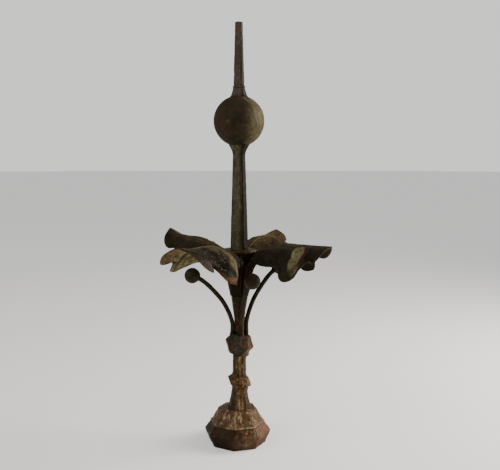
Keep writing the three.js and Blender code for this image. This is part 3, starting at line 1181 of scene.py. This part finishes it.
@dataclass
class Knop:
    """A turned ring set askew on the stem. Its bore fits the stem and, in the upper one, the rods."""

    name: str
    node: str
    outline: Profile
    height: float
    tilt: float
    stem: LowerStem
    with_rods: bool = False
    finish: Finish = KNOP_RUST
    least_radius: float = 0
    bearing: float = 30
    seed: int = 7

    def bore(self, turns: Array, height: Array, room: float = GAP) -> Array:
        """Polar radius of the bore: the stem's octagon, or a rod's far side where that is farther.

        A ray at an angle from a rod's bearing leaves the rod at d·cos + √(r² - d²·sin²), where d is
        the rods' ring radius and r the room's.

        Args:
            turns: Angles about the stem.
            height: Heights of the same points.
            room: How far it stands off the stem and the rods.

        Returns:
            The radius at each turn.
        """
        rods = self.stem.rods
        core = np.full_like(turns, rods.core_radius()) if self.with_rods else self.stem.radius_at(height)
        radius = core * octagon_radius(turns, 400) + room
        if not self.with_rods:
            return radius
        off = (turns + math.pi / 2) % (math.pi / 2) - math.pi / 4
        under = (rods.radius + room) ** 2 - (rods.ring_radius * np.sin(off)) ** 2
        far = rods.ring_radius * np.cos(off) + np.sqrt(np.maximum(under, 0))
        return np.where(under > 0, np.maximum(radius, far), radius)

    def face(self, ring: Array, normal: Array) -> Array:
        """An end face: rings from the outside's last ring in to the bore, on the tilted plane.

        Args:
            ring: The ring that it starts from.
            normal: The direction of the knop's own axis.

        Returns:
            The rings.
        """
        turns = np.arctan2(ring[:, 1], ring[:, 0])
        middle = ring.mean(0)
        height = ring[:, 2].copy()
        for _ in range(4):
            radius = self.bore(turns, height)
            place = np.stack([radius * np.cos(turns), radius * np.sin(turns)], axis=-1)
            height = middle[2] - (place - middle[:2]) @ normal[:2] / normal[2]
        mouth = np.column_stack([place, height])
        return ring + (mouth - ring) * np.array([0.12, 0.5, 0.9, 1.0])[:, None, None]

    def build(self) -> Piece:
        """The outside, tilted but never inside the bore, then both end faces and the bore's wall.

        Returns:
            The piece in the knop's place.
        """
        rings, marks = faceted(self.outline, ease=1.8, spacing=1.5, chips=0.8, lumps=0.7, seed=self.seed)
        bearing = math.radians(self.bearing)
        axis = np.array([math.sin(bearing), -math.cos(bearing), 0.0])
        cos, sin = math.cos(math.radians(-self.tilt)), math.sin(math.radians(-self.tilt))
        along_axis = axis * (rings @ axis)[..., None] * (1 - cos)
        rings = rings * cos + np.cross(axis, rings) * sin + along_axis + np.array([0, 0, self.height])
        reach = np.hypot(rings[..., 0], rings[..., 1])
        least = self.bore(np.arctan2(rings[..., 1], rings[..., 0]), rings[..., 2], GAP + 1.3)
        rings[..., :2] *= np.maximum(np.maximum(least, self.least_radius) / reach, 1)[..., None]
        normal = np.cross(axis, [0.0, 0.0, 1.0]) * sin + np.array([0, 0, cos])
        low, high = self.face(rings[0], normal), self.face(rings[-1], normal)
        wall = high[-1] + (low[-1] - high[-1]) * np.linspace(0, 1, 8)[1:-1, None, None]
        blank, inner = np.zeros(low.shape[:2]), np.zeros((len(high) + len(wall), low.shape[1]))
        marks = {key: np.concatenate([blank, mark, inner]) for key, mark in marks.items()}
        closed = np.concatenate([low[::-1], rings, high, wall])
        return skin(self.name, self.node, closed, marks, self.finish, End.BORE)


@dataclass
class Stamen:
    """A round rod that bends outwards from the stem and ends in a ball bud."""

    name: str
    bearing: float
    rods: Rods
    reach: float = 1.0
    lift: float = 1.0
    bud_radius: float = 22.3
    bud_ring_radius: float = 137
    bud_rise: float = 146
    sides: int = 40

    bend = (
        (0, 0), (0.02, 0.07), (0.075, 0.2), (0.17, 0.36), (0.27, 0.49), (0.48, 0.69), (0.64, 0.82),
        (0.81, 0.925), (1, 1),
    )

    def stations(self) -> Array:
        """The middle line's own points, outward and up, with three on the straight part.

        Returns:
            Rows of outward and up.
        """
        rods = self.rods
        size = [self.bud_ring_radius * self.reach - rods.ring_radius, self.bud_rise * self.lift]
        foot = rods.seat_height + rods.seat_step + 4
        straight = foot + (rods.bend_height - foot) * np.array([0, 0.65, 0.83])
        below = np.column_stack([np.full(3, rods.ring_radius), straight])
        return np.vstack([below, np.array(self.bend) * size + [rods.ring_radius, rods.bend_height]])

    def line(self) -> Array:
        """The middle line, finely stepped: a centripetal Catmull-Rom curve through the stations.

        Each stretch blends its four nearest stations twice, with knots set apart by the square root
        of the distance between them.

        Returns:
            Rows of outward and up.
        """
        own = self.stations()
        points = np.vstack([2 * own[0] - own[1], own, 2 * own[-1] - own[-2]])
        gaps = np.sqrt(np.linalg.norm(np.diff(points, axis=0), axis=1))
        knots = np.concatenate([[0], np.cumsum(gaps)])
        pieces = []
        for i in range(1, len(points) - 2):
            t = np.linspace(knots[i], knots[i + 1], 40, endpoint=False)[:, None]
            p, k = points[i - 1:i + 3], knots[i - 1:i + 3]
            a = [((k[j + 1] - t) * p[j] + (t - k[j]) * p[j + 1]) / (k[j + 1] - k[j]) for j in range(3)]
            b = [((k[j + 2] - t) * a[j] + (t - k[j]) * a[j + 1]) / (k[j + 2] - k[j]) for j in range(2)]
            pieces.append(((k[2] - t) * b[0] + (t - k[1]) * b[1]) / (k[2] - k[1]))
        return np.vstack([*pieces, own[-1:]])

    def build(self) -> Piece:
        """Rings carried along the middle line: the rod's radius, then the ball's about its centre.

        Returns:
            The piece in the stamen's place.
        """
        line = self.line()
        run = np.concatenate([[0], np.cumsum(np.linalg.norm(np.diff(line, axis=0), axis=1))])
        length, rod_radius = run[-1], self.rods.radius
        rod_end = length - math.sqrt(self.bud_radius**2 - rod_radius**2)
        rod = np.linspace(0, rod_end - 3, 110)
        angles = np.linspace(math.asin(rod_radius / self.bud_radius) + 0.07, math.pi * 0.985, 44)
        along = np.concatenate([rod, [rod_end - 1.4], length - self.bud_radius * np.cos(angles)])
        bud = self.bud_radius * np.sin(angles)
        radius = np.concatenate([0 * rod + rod_radius, [rod_radius * 1.03], bud])
        inside = np.minimum(along, length)
        ends = (inside, np.minimum(inside + 2, length), inside - 2)
        centre, ahead, behind = (
            np.column_stack([np.interp(end, run, column) for column in line.T]) for end in ends
        )
        way = (ahead - behind) / np.linalg.norm(ahead - behind, axis=1, keepdims=True)
        centre += way * np.maximum(along - length, 0)[:, None]
        turns = np.linspace(0, 2 * math.pi, self.sides, endpoint=False)[None, :]
        outwards = radius[:, None] * np.cos(turns)
        out, up = centre[:, :1] - way[:, 1:] * outwards, centre[:, 1:] + way[:, :1] * outwards
        rings = np.stack([out, -radius[:, None] * np.sin(turns), up], axis=-1)
        loss = np.maximum(0.12 * unevenness(rings, 14, 31) + 0.12, 0) / np.maximum(radius, 3)[:, None]
        middle = np.insert(centre, 1, 0, axis=1)[:, None, :]
        rings = middle + (rings - middle) * (1 - loss)[..., None]
        # Painted shade where the rod meets the bud, through the hollow mark
        marks = {"hollow": bump(along, rod_end, 2.5)[:, None] + 0 * out}
        return skin(f"{self.name}_rod_and_bud", self.name, turned(rings, self.bearing), marks, OLD_PAINT)


@dataclass(frozen=True)
class LeafSide:
    """How one side of a leaf differs from the common pattern, and the cup in its lobe.

    The cup's place and size are shares along the leaf and across it. Its lip stands only towards the
    root at -1, or towards the tip at 1.
    """

    shift: float = 0.0
    width: float = 1.0
    droop: float = 1.0
    cup_along: float = 0.73
    cup_across: float = 0.58
    cup_long: float = 0.055
    cup_wide: float = 0.28
    cup_depth: float = 4.0
    lip_towards: float = -1.0


# A share of a leaf over which its slope is measured
NEARBY = 0.004
# How far along its length a leaf is made, so that its point stays inside the solid's
SHARE_MADE = 0.9995


@dataclass
class Leaf:
    """A lobed leaf that springs from the bell, bends outwards and droops on both sides."""

    name: str
    bearing: float
    reach: float
    lift: float
    curl: float
    tip_width: float
    right: LeafSide
    left: LeafSide
    seed: int
    finish: LeafFinish
    bead_height: float = 1.5
    thickness: float = 5
    bend_reach: float = 48
    common_reach: float = 283
    crest_rise: float = 157
    lobe_width: float = 130
    root_radius: float = 24.5 + GAP + 5 / 2
    root_height: float = 434
    wrap: float = 0.72
    lean: float = 0.03

    bend = (
        (0, 0, 0), (0.109, 0.1, 0.261), (0.215, 0.19, 0.484), (0.3, 0.34, 0.675), (0.363, 0.56, 0.796),
        (0.438, 1, 0.885),
    )
    blade = (
        (0.555, 0.194, 0.949), (0.687, 0.433, 1), (0.793, 0.625, 1), (0.886, 0.793, 1), (1, 1, 1.057),
    )
    root_widths = ((0, 1), (0.1, 1.14), (0.2, 1.35))
    half_widths = (
        (0.28, 0.35), (0.36, 0.5), (0.46, 0.57), (0.53, 0.6), (0.6, 0.83), (0.68, 1),
        (0.75, 0.94), (0.8, 0.6), (0.83, 0.46), (0.88, 0.554), (0.94, 0.4), (1, 0.03),
    )
    turns = (
        (0.2, -0.35), (0.28, 0.45), (0.36, 1.05), (0.46, 1.5), (0.6, 1.6), (0.72, 1.6),
        (0.82, 1.4), (0.9, 1.2), (1, 0.4),
    )

    def midrib(self, along: Array) -> Array:
        """The midrib: a smooth curve up the bell, over and out.

        Args:
            along: Shares of the length.

        Returns:
            Places outward and up, with one more axis than the shares.
        """
        rise = self.crest_rise
        bend = np.array(self.bend) * [1, self.bend_reach, rise] + [0, self.root_radius, self.root_height]
        start = self.root_radius + self.bend_reach
        share, out, up = np.array(self.blade).T
        curl = self.curl * np.clip((share - 0.8) / 0.2, 0, 1) ** 2
        height = self.root_height + rise * up + self.common_reach * (self.lift * out + curl)
        blade = np.column_stack([share, start + (self.common_reach * self.reach - start) * out, height])
        return through(np.vstack([bend, blade]), along)

    def side(self, name: str, across: Array) -> Array:
        """A value of the side that each point is on."""
        return np.where(across < 0, getattr(self.left, name), getattr(self.right, name))

    def middle(self, along: Array, across: Array) -> Array:
        """The leaf's middle surface.

        From the midrib the sheet bends through an arc on each side: at a share across, the point
        lies bend·sin(turn·share) sideways and bend·(1 - cos(turn·share)) below the midrib, where
        bend is the half-width over the turn. Shares across also lean the point a little outwards.

        Args:
            along: Shares of the length, from root to tip.
            across: Shares of the half-width, from -1 to 1.

        Returns:
            Places in millimetres with the leaf pointing along X.
        """
        outwards = np.abs(across)
        spread = np.clip((along - 0.3) / 0.2, 0, 1)
        shift, wider, droop = (self.side(name, across) for name in ("shift", "width", "droop"))
        leaning = np.clip(along + self.lean * outwards**1.6 * np.sin(math.pi * along), 0, 1)
        rib = self.midrib(leaning)
        way = self.midrib(np.minimum(leaning + NEARBY, 1)) - self.midrib(np.maximum(leaning - NEARBY, 0))
        way /= np.linalg.norm(way, axis=-1, keepdims=True)
        root = np.array(self.root_widths) * [1, self.root_radius * self.wrap]
        widths = np.vstack([root, np.array(self.half_widths) * [1, self.lobe_width]])
        turns = np.array([(0, -self.wrap), (0.12, -self.wrap * 0.97), *self.turns])
        shifted = np.clip(along - shift * spread * np.clip((1 - along) / 0.1, 0, 1), 0, 1)
        tip = 1 + (self.tip_width - 1) * np.clip((along - 0.8) / 0.1, 0, 1)
        width = through(widths, shifted)[..., 0] * (1 + spread * (wider - 1)) * tip
        turn = through(turns, along)[..., 0]
        turn = np.where(np.abs(turn) < 0.001, 0.001, turn) * (1 + spread * (droop - 1))
        radius = width / turn
        drop = radius * (1 - np.cos(turn * outwards))
        sideways = np.sign(across) * radius * np.sin(turn * outwards)
        outward, up = rib[..., 0] + way[..., 1] * drop, rib[..., 1] - way[..., 0] * drop
        return np.stack([outward, sideways, up], axis=-1)

    def cup(self, along: Array, across: Array) -> tuple[Array, Marks]:
        """The cup in each side lobe, by a distance that is 0 at its middle and 1 at its lip.

        It is the 2.8-norm of the distances along and across over the cup's size, less some hills.

        Args:
            along: Shares of the length.
            across: Shares of the half-width.

        Returns:
            The height in millimetres, and the marks of the cup, its lip, the slit in the lip and the
            seam on the side without a lip.
        """
        u, power = np.abs(across), 2.8
        towards, sideways = self.side("lip_towards", across), self.side("cup_across", across)
        way = (along - self.side("cup_along", across)) / self.side("cup_long", across)
        aside = (u - sideways) / self.side("cup_wide", across)
        distance = (np.abs(way) ** power + np.abs(aside) ** power) ** (1 / power)
        plane = np.stack([along * self.common_reach, across * self.lobe_width, 0 * along], axis=-1)
        distance = distance + 0.13 * unevenness(plane, 16, self.seed + 100)
        kept = (1 - np.abs(towards) * step(-way * towards, -0.3, 0.35)) ** 2 * step(u, 0.12, 0.32)
        lip = bump(distance, 1.15, 0.24) * kept
        slit = bump(distance, 1.12, 0.07) * kept * bump(u, sideways - 0.1, 0.25)
        seam = bump(distance, 0.98, 0.13) * (1 - kept) * step(way * towards, 0.3, -0.3)
        hollow = 1 - step(distance, 0.3, 1.0)
        height = self.side("cup_depth", across) * (0.5 * lip - hollow - 0.25 * slit - 0.2 * seam)
        return height, {"cup": 1 - step(distance, 0.75, 1.08), "lip": lip, "slit": slit, "seam": seam}

    def relief(self, along: Array, across: Array) -> tuple[Array, Marks]:
        """The carving, as a height above the sheet in millimetres.

        A crest runs along the midrib and one rib to each lobe. Before the cup the sheet swells, it is
        scooped out near the bend, has a teardrop eye at the root of the lobe and a crease from each
        notch back to the midrib.

        Args:
            along: Shares of the length.
            across: Shares of the half-width.

        Returns:
            The height, and the marks that the leaf's finish reads, from 0 to 1.
        """
        u = np.abs(across)
        blade = step(along, 0.22, 0.4)
        crest = bump(across, 0, 0.045) * step(along, 0.25, 0.45)
        beads = self.bead_height * crest * np.maximum(np.sin(along * 80), 0) * bump(along, 0.53, 0.07)
        reeds = np.cos(across * 46) * (1 - step(u, 0.22, 0.42)) * bump(along, 0.58, 0.17)
        ribs = [crest]
        for start, rake, power, width, inner, outer, height in (
            (0.47, 0.14, 0.85, 0.02, (0.04, 0.2), (0.8, 0.98), 0.8),
            (0.83, 0.08, 1, 0.014, (0.05, 0.25), (0.75, 0.95), 0.7),
            (0.27, 0.12, 1, 0.02, (0.05, 0.25), (0.85, 1), 0.8),
        ):
            rib = bump(along - start - rake * u**power, 0, width)
            ribs.append(rib * step(u, *inner) * (1 - step(u, *outer)) * height)
        belly = bump(along, 0.6, 0.05) * bump(u, 0.62, 0.3)
        tip_belly = bump(along, 0.91, 0.04) * bump(u, 0.5, 0.3)
        scoop = bump(along, 0.44, 0.05) * bump(u, 0.62, 0.34)
        eye = bump(along - 0.33 - 0.05 * u, 0, 0.018) * bump(u, 0.5, 0.16)
        crease = bump(along - 0.79 - 0.03 * u, 0, 0.012) * step(u, 0.5, 0.95)
        rim = step(u, 0.86, 0.97) * blade
        flutes = np.sin((along - 0.2 * u) * 95) * bump(along, 0.56, 0.1) * step(u, 0.2, 0.5)
        cup_height, cup = self.cup(along, across)
        raised = 2.2 * np.maximum.reduce(ribs) + beads + 0.7 * reeds + 2.5 * (belly + tip_belly) + 0.8 * rim
        height = raised - 4.0 * scoop - 3.0 * eye - 2.5 * crease + cup_height + 0.35 * flutes
        marks = {key: mark if key == "cup" else mark * blade for key, mark in cup.items()}
        marks["vein"] = np.maximum(crest, 0.6 * np.clip(reeds, 0, 1)) * (1 - cup["cup"])
        marks["edge"] = rim * 0.8
        marks["low"] = step(u, 0.8, 0.93)
        marks["tip"] = step(along, 0.82, 0.9)
        # Painted shade: the finish darkens the scoop, eye and creases through the hollow mark, and the root
        # at the bell through the root mark
        marks["hollow"] = np.clip(scoop + eye + crease, 0, 1)
        marks["root"] = (1 - step(along, 0.26, 0.4)) * (0.3 + 0.7 * step(along, 0.03, 0.2))
        return height * (1 - step(along, 0.94, 0.995)) * step(along, 0.06, 0.25), marks

    def build(self, steps: int = 150, half: int = 44) -> Piece:
        """Both faces of the sheet, thinner at the rim and drawn down to a feather edge at the root.

        Args:
            steps: Rings along the leaf, less one.
            half: Points from the midrib to one rim.

        Returns:
            The leaf in place of its node.
        """
        spread = np.sin(np.linspace(-1, 1, 2 * half) * math.pi / 2 * 0.93) / math.sin(math.pi / 2 * 0.93)
        along, across = np.meshgrid(np.linspace(0, SHARE_MADE, steps + 1), spread, indexing="ij")
        ahead = self.middle(np.minimum(along + NEARBY, 1), across)
        ahead = ahead - self.middle(np.maximum(along - NEARBY, 0), across)
        beside = self.middle(along, np.minimum(across + NEARBY, 1))
        beside = beside - self.middle(along, np.maximum(across - NEARBY, -1))
        normal = np.cross(ahead, beside)
        normal /= np.linalg.norm(normal, axis=-1, keepdims=True)
        middle = self.middle(along, across)
        height, marks = self.relief(along, across)
        sheet = step(along, 0.1, 0.3) * (1 - step(along, 0.9, 1))
        height = height + 0.25 * unevenness(middle, 18, self.seed) * sheet
        rim = step(along, 0.25, 0.4) * step(np.abs(across), 0.8, 1)
        half_thick = self.thickness / 2 * (1 - np.maximum(0.5 * rim, 0.1 * step(along, 0.85, 1)))
        drawn = half_thick * (1 - 1.3 * (1 - step(along, 0, 0.11)))
        top = middle + normal * (height + half_thick)[..., None]
        below = middle + normal * (0.75 * height - drawn)[..., None]
        rings = np.concatenate([below, top[:, ::-1]], axis=1)
        marks = {key: np.concatenate([mark, mark[:, ::-1]], axis=1) for key, mark in marks.items()}
        marks["under"] = np.concatenate([step(along, 0.4, 0.55), 0 * along], axis=1)
        rings = turned(rings, self.bearing)
        return skin(f"{self.name}_blade", self.name, rings, marks, self.finish, End.LACE)


@dataclass
class Ball:
    """The large ball, a little dented."""

    centre_height: float
    radius: float

    def build(self) -> Piece:
        """A sphere by polar angle and turn, less shallow dents.

        Returns:
            The piece in the ball's place.
        """
        polar = np.linspace(0.004, math.pi - 0.004, 110)[::-1, None]
        turns = np.linspace(0, 2 * math.pi, 144, endpoint=False)[None, :]
        flat = np.sin(polar)
        way = np.stack([flat * np.cos(turns), flat * np.sin(turns), np.cos(polar) + 0 * turns], axis=-1)
        hills = 0.3 + 0.12 * unevenness(way * self.radius, 34, 51)
        dents = step(unevenness(way * self.radius, 22, 52), 1.5, 2.8)
        bare = step(np.abs(way[..., 2]), 0.999, 0.98)
        depth = (np.maximum(hills, 0) + 1.4 * dents) * bare
        places = way * (self.radius - depth)[..., None] + np.array([0, 0, self.centre_height])
        chip = bump(np.linalg.norm(way - [0.08, -0.996, -0.03], axis=-1), 0, 0.05)
        # The dents are darkened through the hollow mark: painted shade
        return skin("ball_shell", "ball", places, {"hollow": dents, "scuff": chip}, BALL_PAINT)


@dataclass
class SeatedPost:
    """An eight-sided post with one end hollowed to sit on the ball: the mast or the spike."""

    name: str
    node: str
    profile: Profile
    ball: Ball
    seat_at_top: bool
    finish: Finish
    seed: int

    def build(self) -> Piece:
        """The faceted outside, and an end face that follows the ball a gap away from it.

        Returns:
            The piece in the post's place.
        """
        rings, marks = faceted(self.profile, ease=1.2, spacing=3.0, chips=0.5, lumps=0.5, seed=self.seed)
        seat = (rings[-1] if self.seat_at_top else rings[0]) * np.linspace(1, 0.004, 12)[:, None, None]
        reach = np.hypot(seat[..., 0], seat[..., 1])
        rise = np.sqrt((self.ball.radius + GAP) ** 2 - reach**2)
        seat[..., 2] = self.ball.centre_height + (-rise if self.seat_at_top else rise)
        blank = np.zeros(seat[1:].shape[:2])
        rings = [rings[:-1], seat] if self.seat_at_top else [seat[::-1], rings[1:]]
        marks = {
            key: np.concatenate([mark, blank] if self.seat_at_top else [blank, mark])
            for key, mark in marks.items()
        }
        return skin(self.name, self.node, np.concatenate(rings), marks, self.finish)


@dataclass
class Top:
    """The mast above the crown, the ball on it and the spike that is cut off flat."""

    crown_height: float = 568
    mast_length: float = 297
    mast_foot_radius: float = 26.3
    mast_top_radius: float = 18.4
    mast_head_radius: float = 30.5
    mast_head_length: float = 29
    ball_radius: float = 71.4
    spike_length: float = 204
    spike_foot_radius: float = 27.5
    spike_foot_length: float = 25
    spike_low_radius: float = 15.8
    spike_top_radius: float = 11.3

    def build(self) -> list[Piece]:
        """Mast, ball and spike.

        Returns:
            The three pieces.
        """
        mast_top = self.crown_height + GAP + self.mast_length
        ball = Ball(mast_top + math.sqrt(self.ball_radius**2 - self.mast_head_radius**2), self.ball_radius)
        seat = ball.centre_height + math.sqrt(self.ball_radius**2 - self.spike_foot_radius**2)
        head, foot, low = self.mast_head_radius, self.spike_foot_length, self.spike_low_radius
        mast = [
            (0.1, self.crown_height + GAP),
            (self.mast_foot_radius, self.crown_height + GAP),
            (self.mast_top_radius, mast_top - self.mast_head_length),
            (head * 0.68, mast_top - self.mast_head_length * 0.62),
            (head, mast_top - GAP),
        ]
        spike = [
            (self.spike_foot_radius, seat + GAP),
            (self.spike_foot_radius * 0.86, seat + foot * 0.16),
            (low * 1.1, seat + foot),
            (low * 1.16, seat + foot * 1.06),
            (low * 1.14, seat + foot * 1.2),
            (low, seat + foot * 1.3),
            (self.spike_top_radius, seat + self.spike_length),
            (0.1, seat + self.spike_length),
        ]
        return [
            SeatedPost("mast_shaft", "upper_stem", mast, ball, True, MAST_PAINT, 61).build(),
            ball.build(),
            SeatedPost("spike_shaft", "spike", spike, ball, False, SPIKE_PAINT, 67).build(),
        ]


@dataclass
class Crown:
    """The four leaves and the four stamens below them."""

    rods: Rods

    def leaves(self) -> list[Leaf]:
        """The leaves with their own reach, lift, curl, tip and sides.

        Returns:
            The four leaves.
        """
        plain = LeafSide()
        cupped = LeafSide(
            shift=-0.04, width=1.1, cup_along=0.762, cup_across=0.56, cup_long=0.11, cup_wide=0.42,
            cup_depth=6,
        )
        scrolled = LeafSide(
            shift=0.035, width=1.05, cup_along=0.783, cup_across=0.5, cup_long=0.045, cup_wide=0.4,
            cup_depth=7, lip_towards=1,
        )
        folded, raised = LeafSide(droop=0.8), LeafSide(width=0.9, droop=0.5)
        return [
            Leaf("leaf_front", -90, 1.06, 0.014, 0, 1.35, cupped, folded, 41, LEAF_FRONT_PAINT),
            Leaf("leaf_right", 0, 1, -0.007, -0.021, 0.9, plain, scrolled, 42, LEAF_RIGHT_PAINT),
            Leaf("leaf_back", 90, 0.83, -0.007, 0.014, 0.75, plain, raised, 43, LEAF_BACK_PAINT),
            Leaf("leaf_left", 180, 0.852, 0.021, 0.035, 0.85, plain, plain, 44, LEAF_LEFT_PAINT, 4.5),
        ]

    def stamens(self) -> list[Stamen]:
        """The stamens, between the leaves.

        Returns:
            The four stamens.
        """
        return [
            Stamen("stamen_front_right", -45, self.rods, reach=0.98),
            Stamen("stamen_back_right", 45, self.rods, reach=0.88, lift=1.1),
            Stamen("stamen_back_left", 135, self.rods),
            Stamen("stamen_front_left", -135, self.rods),
        ]

    def build(self) -> list[Piece]:
        """Every leaf and stamen."""
        return [part.build() for part in (*self.leaves(), *self.stamens())]


@dataclass
class Stem:
    """The foot, the lower stem and its two knops."""

    rods: Rods
    lower_knop_height: float = 181
    lower_knop_radius: float = 38
    lower_knop_end: float = 24
    lower_knop_length: float = 35
    upper_knop_height: float = 293
    upper_knop_radius: float = 44
    upper_knop_length: float = 62
    upper_knop_end: float = 26

    upper_outline = (
        (0.6, -0.5), (0.78, -0.26), (0.92, -0.1), (1, 0), (0.92, 0.1), (0.78, 0.26), (0.66, 0.44),
    )

    def build(self) -> list[Piece]:
        """Foot, stem and knops.

        Returns:
            The four pieces.
        """
        shaft = LowerStem(self.rods)
        half = self.lower_knop_length / 2
        sharp = [(self.lower_knop_end, -half), (self.lower_knop_radius, 0), (self.lower_knop_end, half)]
        full = [(self.upper_knop_radius * r, self.upper_knop_length * h) for r, h in self.upper_outline]
        upper = Knop(
            "upper_knop_ring", "upper_knop", full, self.upper_knop_height, 14, shaft,
            with_rods=True, finish=DARK_KNOP_RUST, least_radius=self.upper_knop_end, seed=9,
        )
        lower = Knop("lower_knop_ring", "lower_knop", sharp, self.lower_knop_height, 19, shaft)
        return [part.build() for part in (Foot(), shaft, lower, upper)]


@dataclass
class Studio:
    """The camera at the photograph's angle, a plain pale floor and soft light."""

    camera_at: tuple[float, float, float] = (0.978, -1.694, 0.830)
    pitch: float = 6.45
    yaw: float = 29.1
    lens: float = 49.68

    def camera(self) -> None:
        """The camera, level from side to side."""
        data = bpy.data.cameras.new("camera")
        data.lens = self.lens
        data.sensor_width = 36
        camera = linked(bpy.data.objects.new("camera", data))
        camera.location = self.camera_at
        camera.rotation_euler = (math.radians(90 - self.pitch), 0, math.radians(self.yaw))
        bpy.context.scene.camera = camera

    def floor(self) -> None:
        """A wide disc, a hair below the foot, that seems a little brighter to the camera."""
        turns = np.linspace(0, 2 * math.pi, 96, endpoint=False)
        rim = np.column_stack([np.cos(turns) * 40000, np.sin(turns) * 40000, np.full(96, -0.2)])
        floor = meshed("floor", rim, [list(range(96))])
        material = bpy.data.materials.new("pale_floor")
        material.use_nodes = True
        tree = Tree(material.node_tree)
        seen = tree.add("LightPath", {}).outputs["Is Camera Ray"]
        inputs = {
            "Base Color": (0.8, 0.8, 0.79, 1),
            "Roughness": 0.9,
            "Emission Color": (1, 1, 1, 1),
            "Emission Strength": tree.between(seen, 0.0, 0.45),
        }
        tree.add("OutputMaterial", {"Surface": tree.add("BsdfPrincipled", inputs).outputs[0]})
        floor.data.materials.append(material)
        floor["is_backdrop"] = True

    def light(self) -> None:
        """Pale surroundings, a large soft light at the right and a weak one at the left."""
        world = bpy.data.worlds.new("surroundings")
        world.use_nodes = True
        tree = Tree(world.node_tree)
        strength = tree.between(tree.add("LightPath", {}).outputs["Is Camera Ray"], 0.33, 1.02)
        back = tree.add("Background", {"Color": (1.0, 0.99, 0.97, 1), "Strength": strength})
        tree.add("OutputWorld", {"Surface": back.outputs[0]})
        bpy.context.scene.world = world
        self.lamp("key", (1.75, 1.4, 1.5), (0, 0, 0.5), 1.5, 100)
        self.lamp("front", (-1.2, -2.4, 2.2), (0, 0, 0.7), 1.8, 30)

    def lamp(self, name: str, place: tuple, target: tuple, size: float, power: float) -> None:
        """A square area light.

        Args:
            name: Its name.
            place: Where it hangs, in metres.
            target: What it points at.
            size: Its side.
            power: Its watts.
        """
        data = bpy.data.lights.new(name, "AREA")
        data.size = size
        data.energy = power
        data.color = (1.0, 0.93, 0.82)
        lamp = linked(bpy.data.objects.new(name, data))
        lamp.location = place
        east, north, up = np.array(target) - np.array(place)
        fall, heading = math.atan2(math.hypot(east, north), -up), math.atan2(north, east)
        lamp.rotation_euler = (fall, 0, heading - math.pi / 2)

    def build(self) -> None:
        """Camera, floor and light."""
        self.camera()
        self.floor()
        self.light()


def main(cad_box: tuple) -> None:
    """Builds the studio and every sub-assembly.

    Args:
        cad_box: The lowest and the highest corner of the CAD model; not used.
    """
    logging.basicConfig(level=logging.INFO, format="%(message)s")
    Studio().build()
    rods = Rods()
    for part in (Stem(rods), Crown(rods), Top()):
        for piece in part.build():
            log.info("%s: %d faces", piece.name, len(piece.data.polygons))


if __name__ == "__main__":
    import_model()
    main(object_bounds())
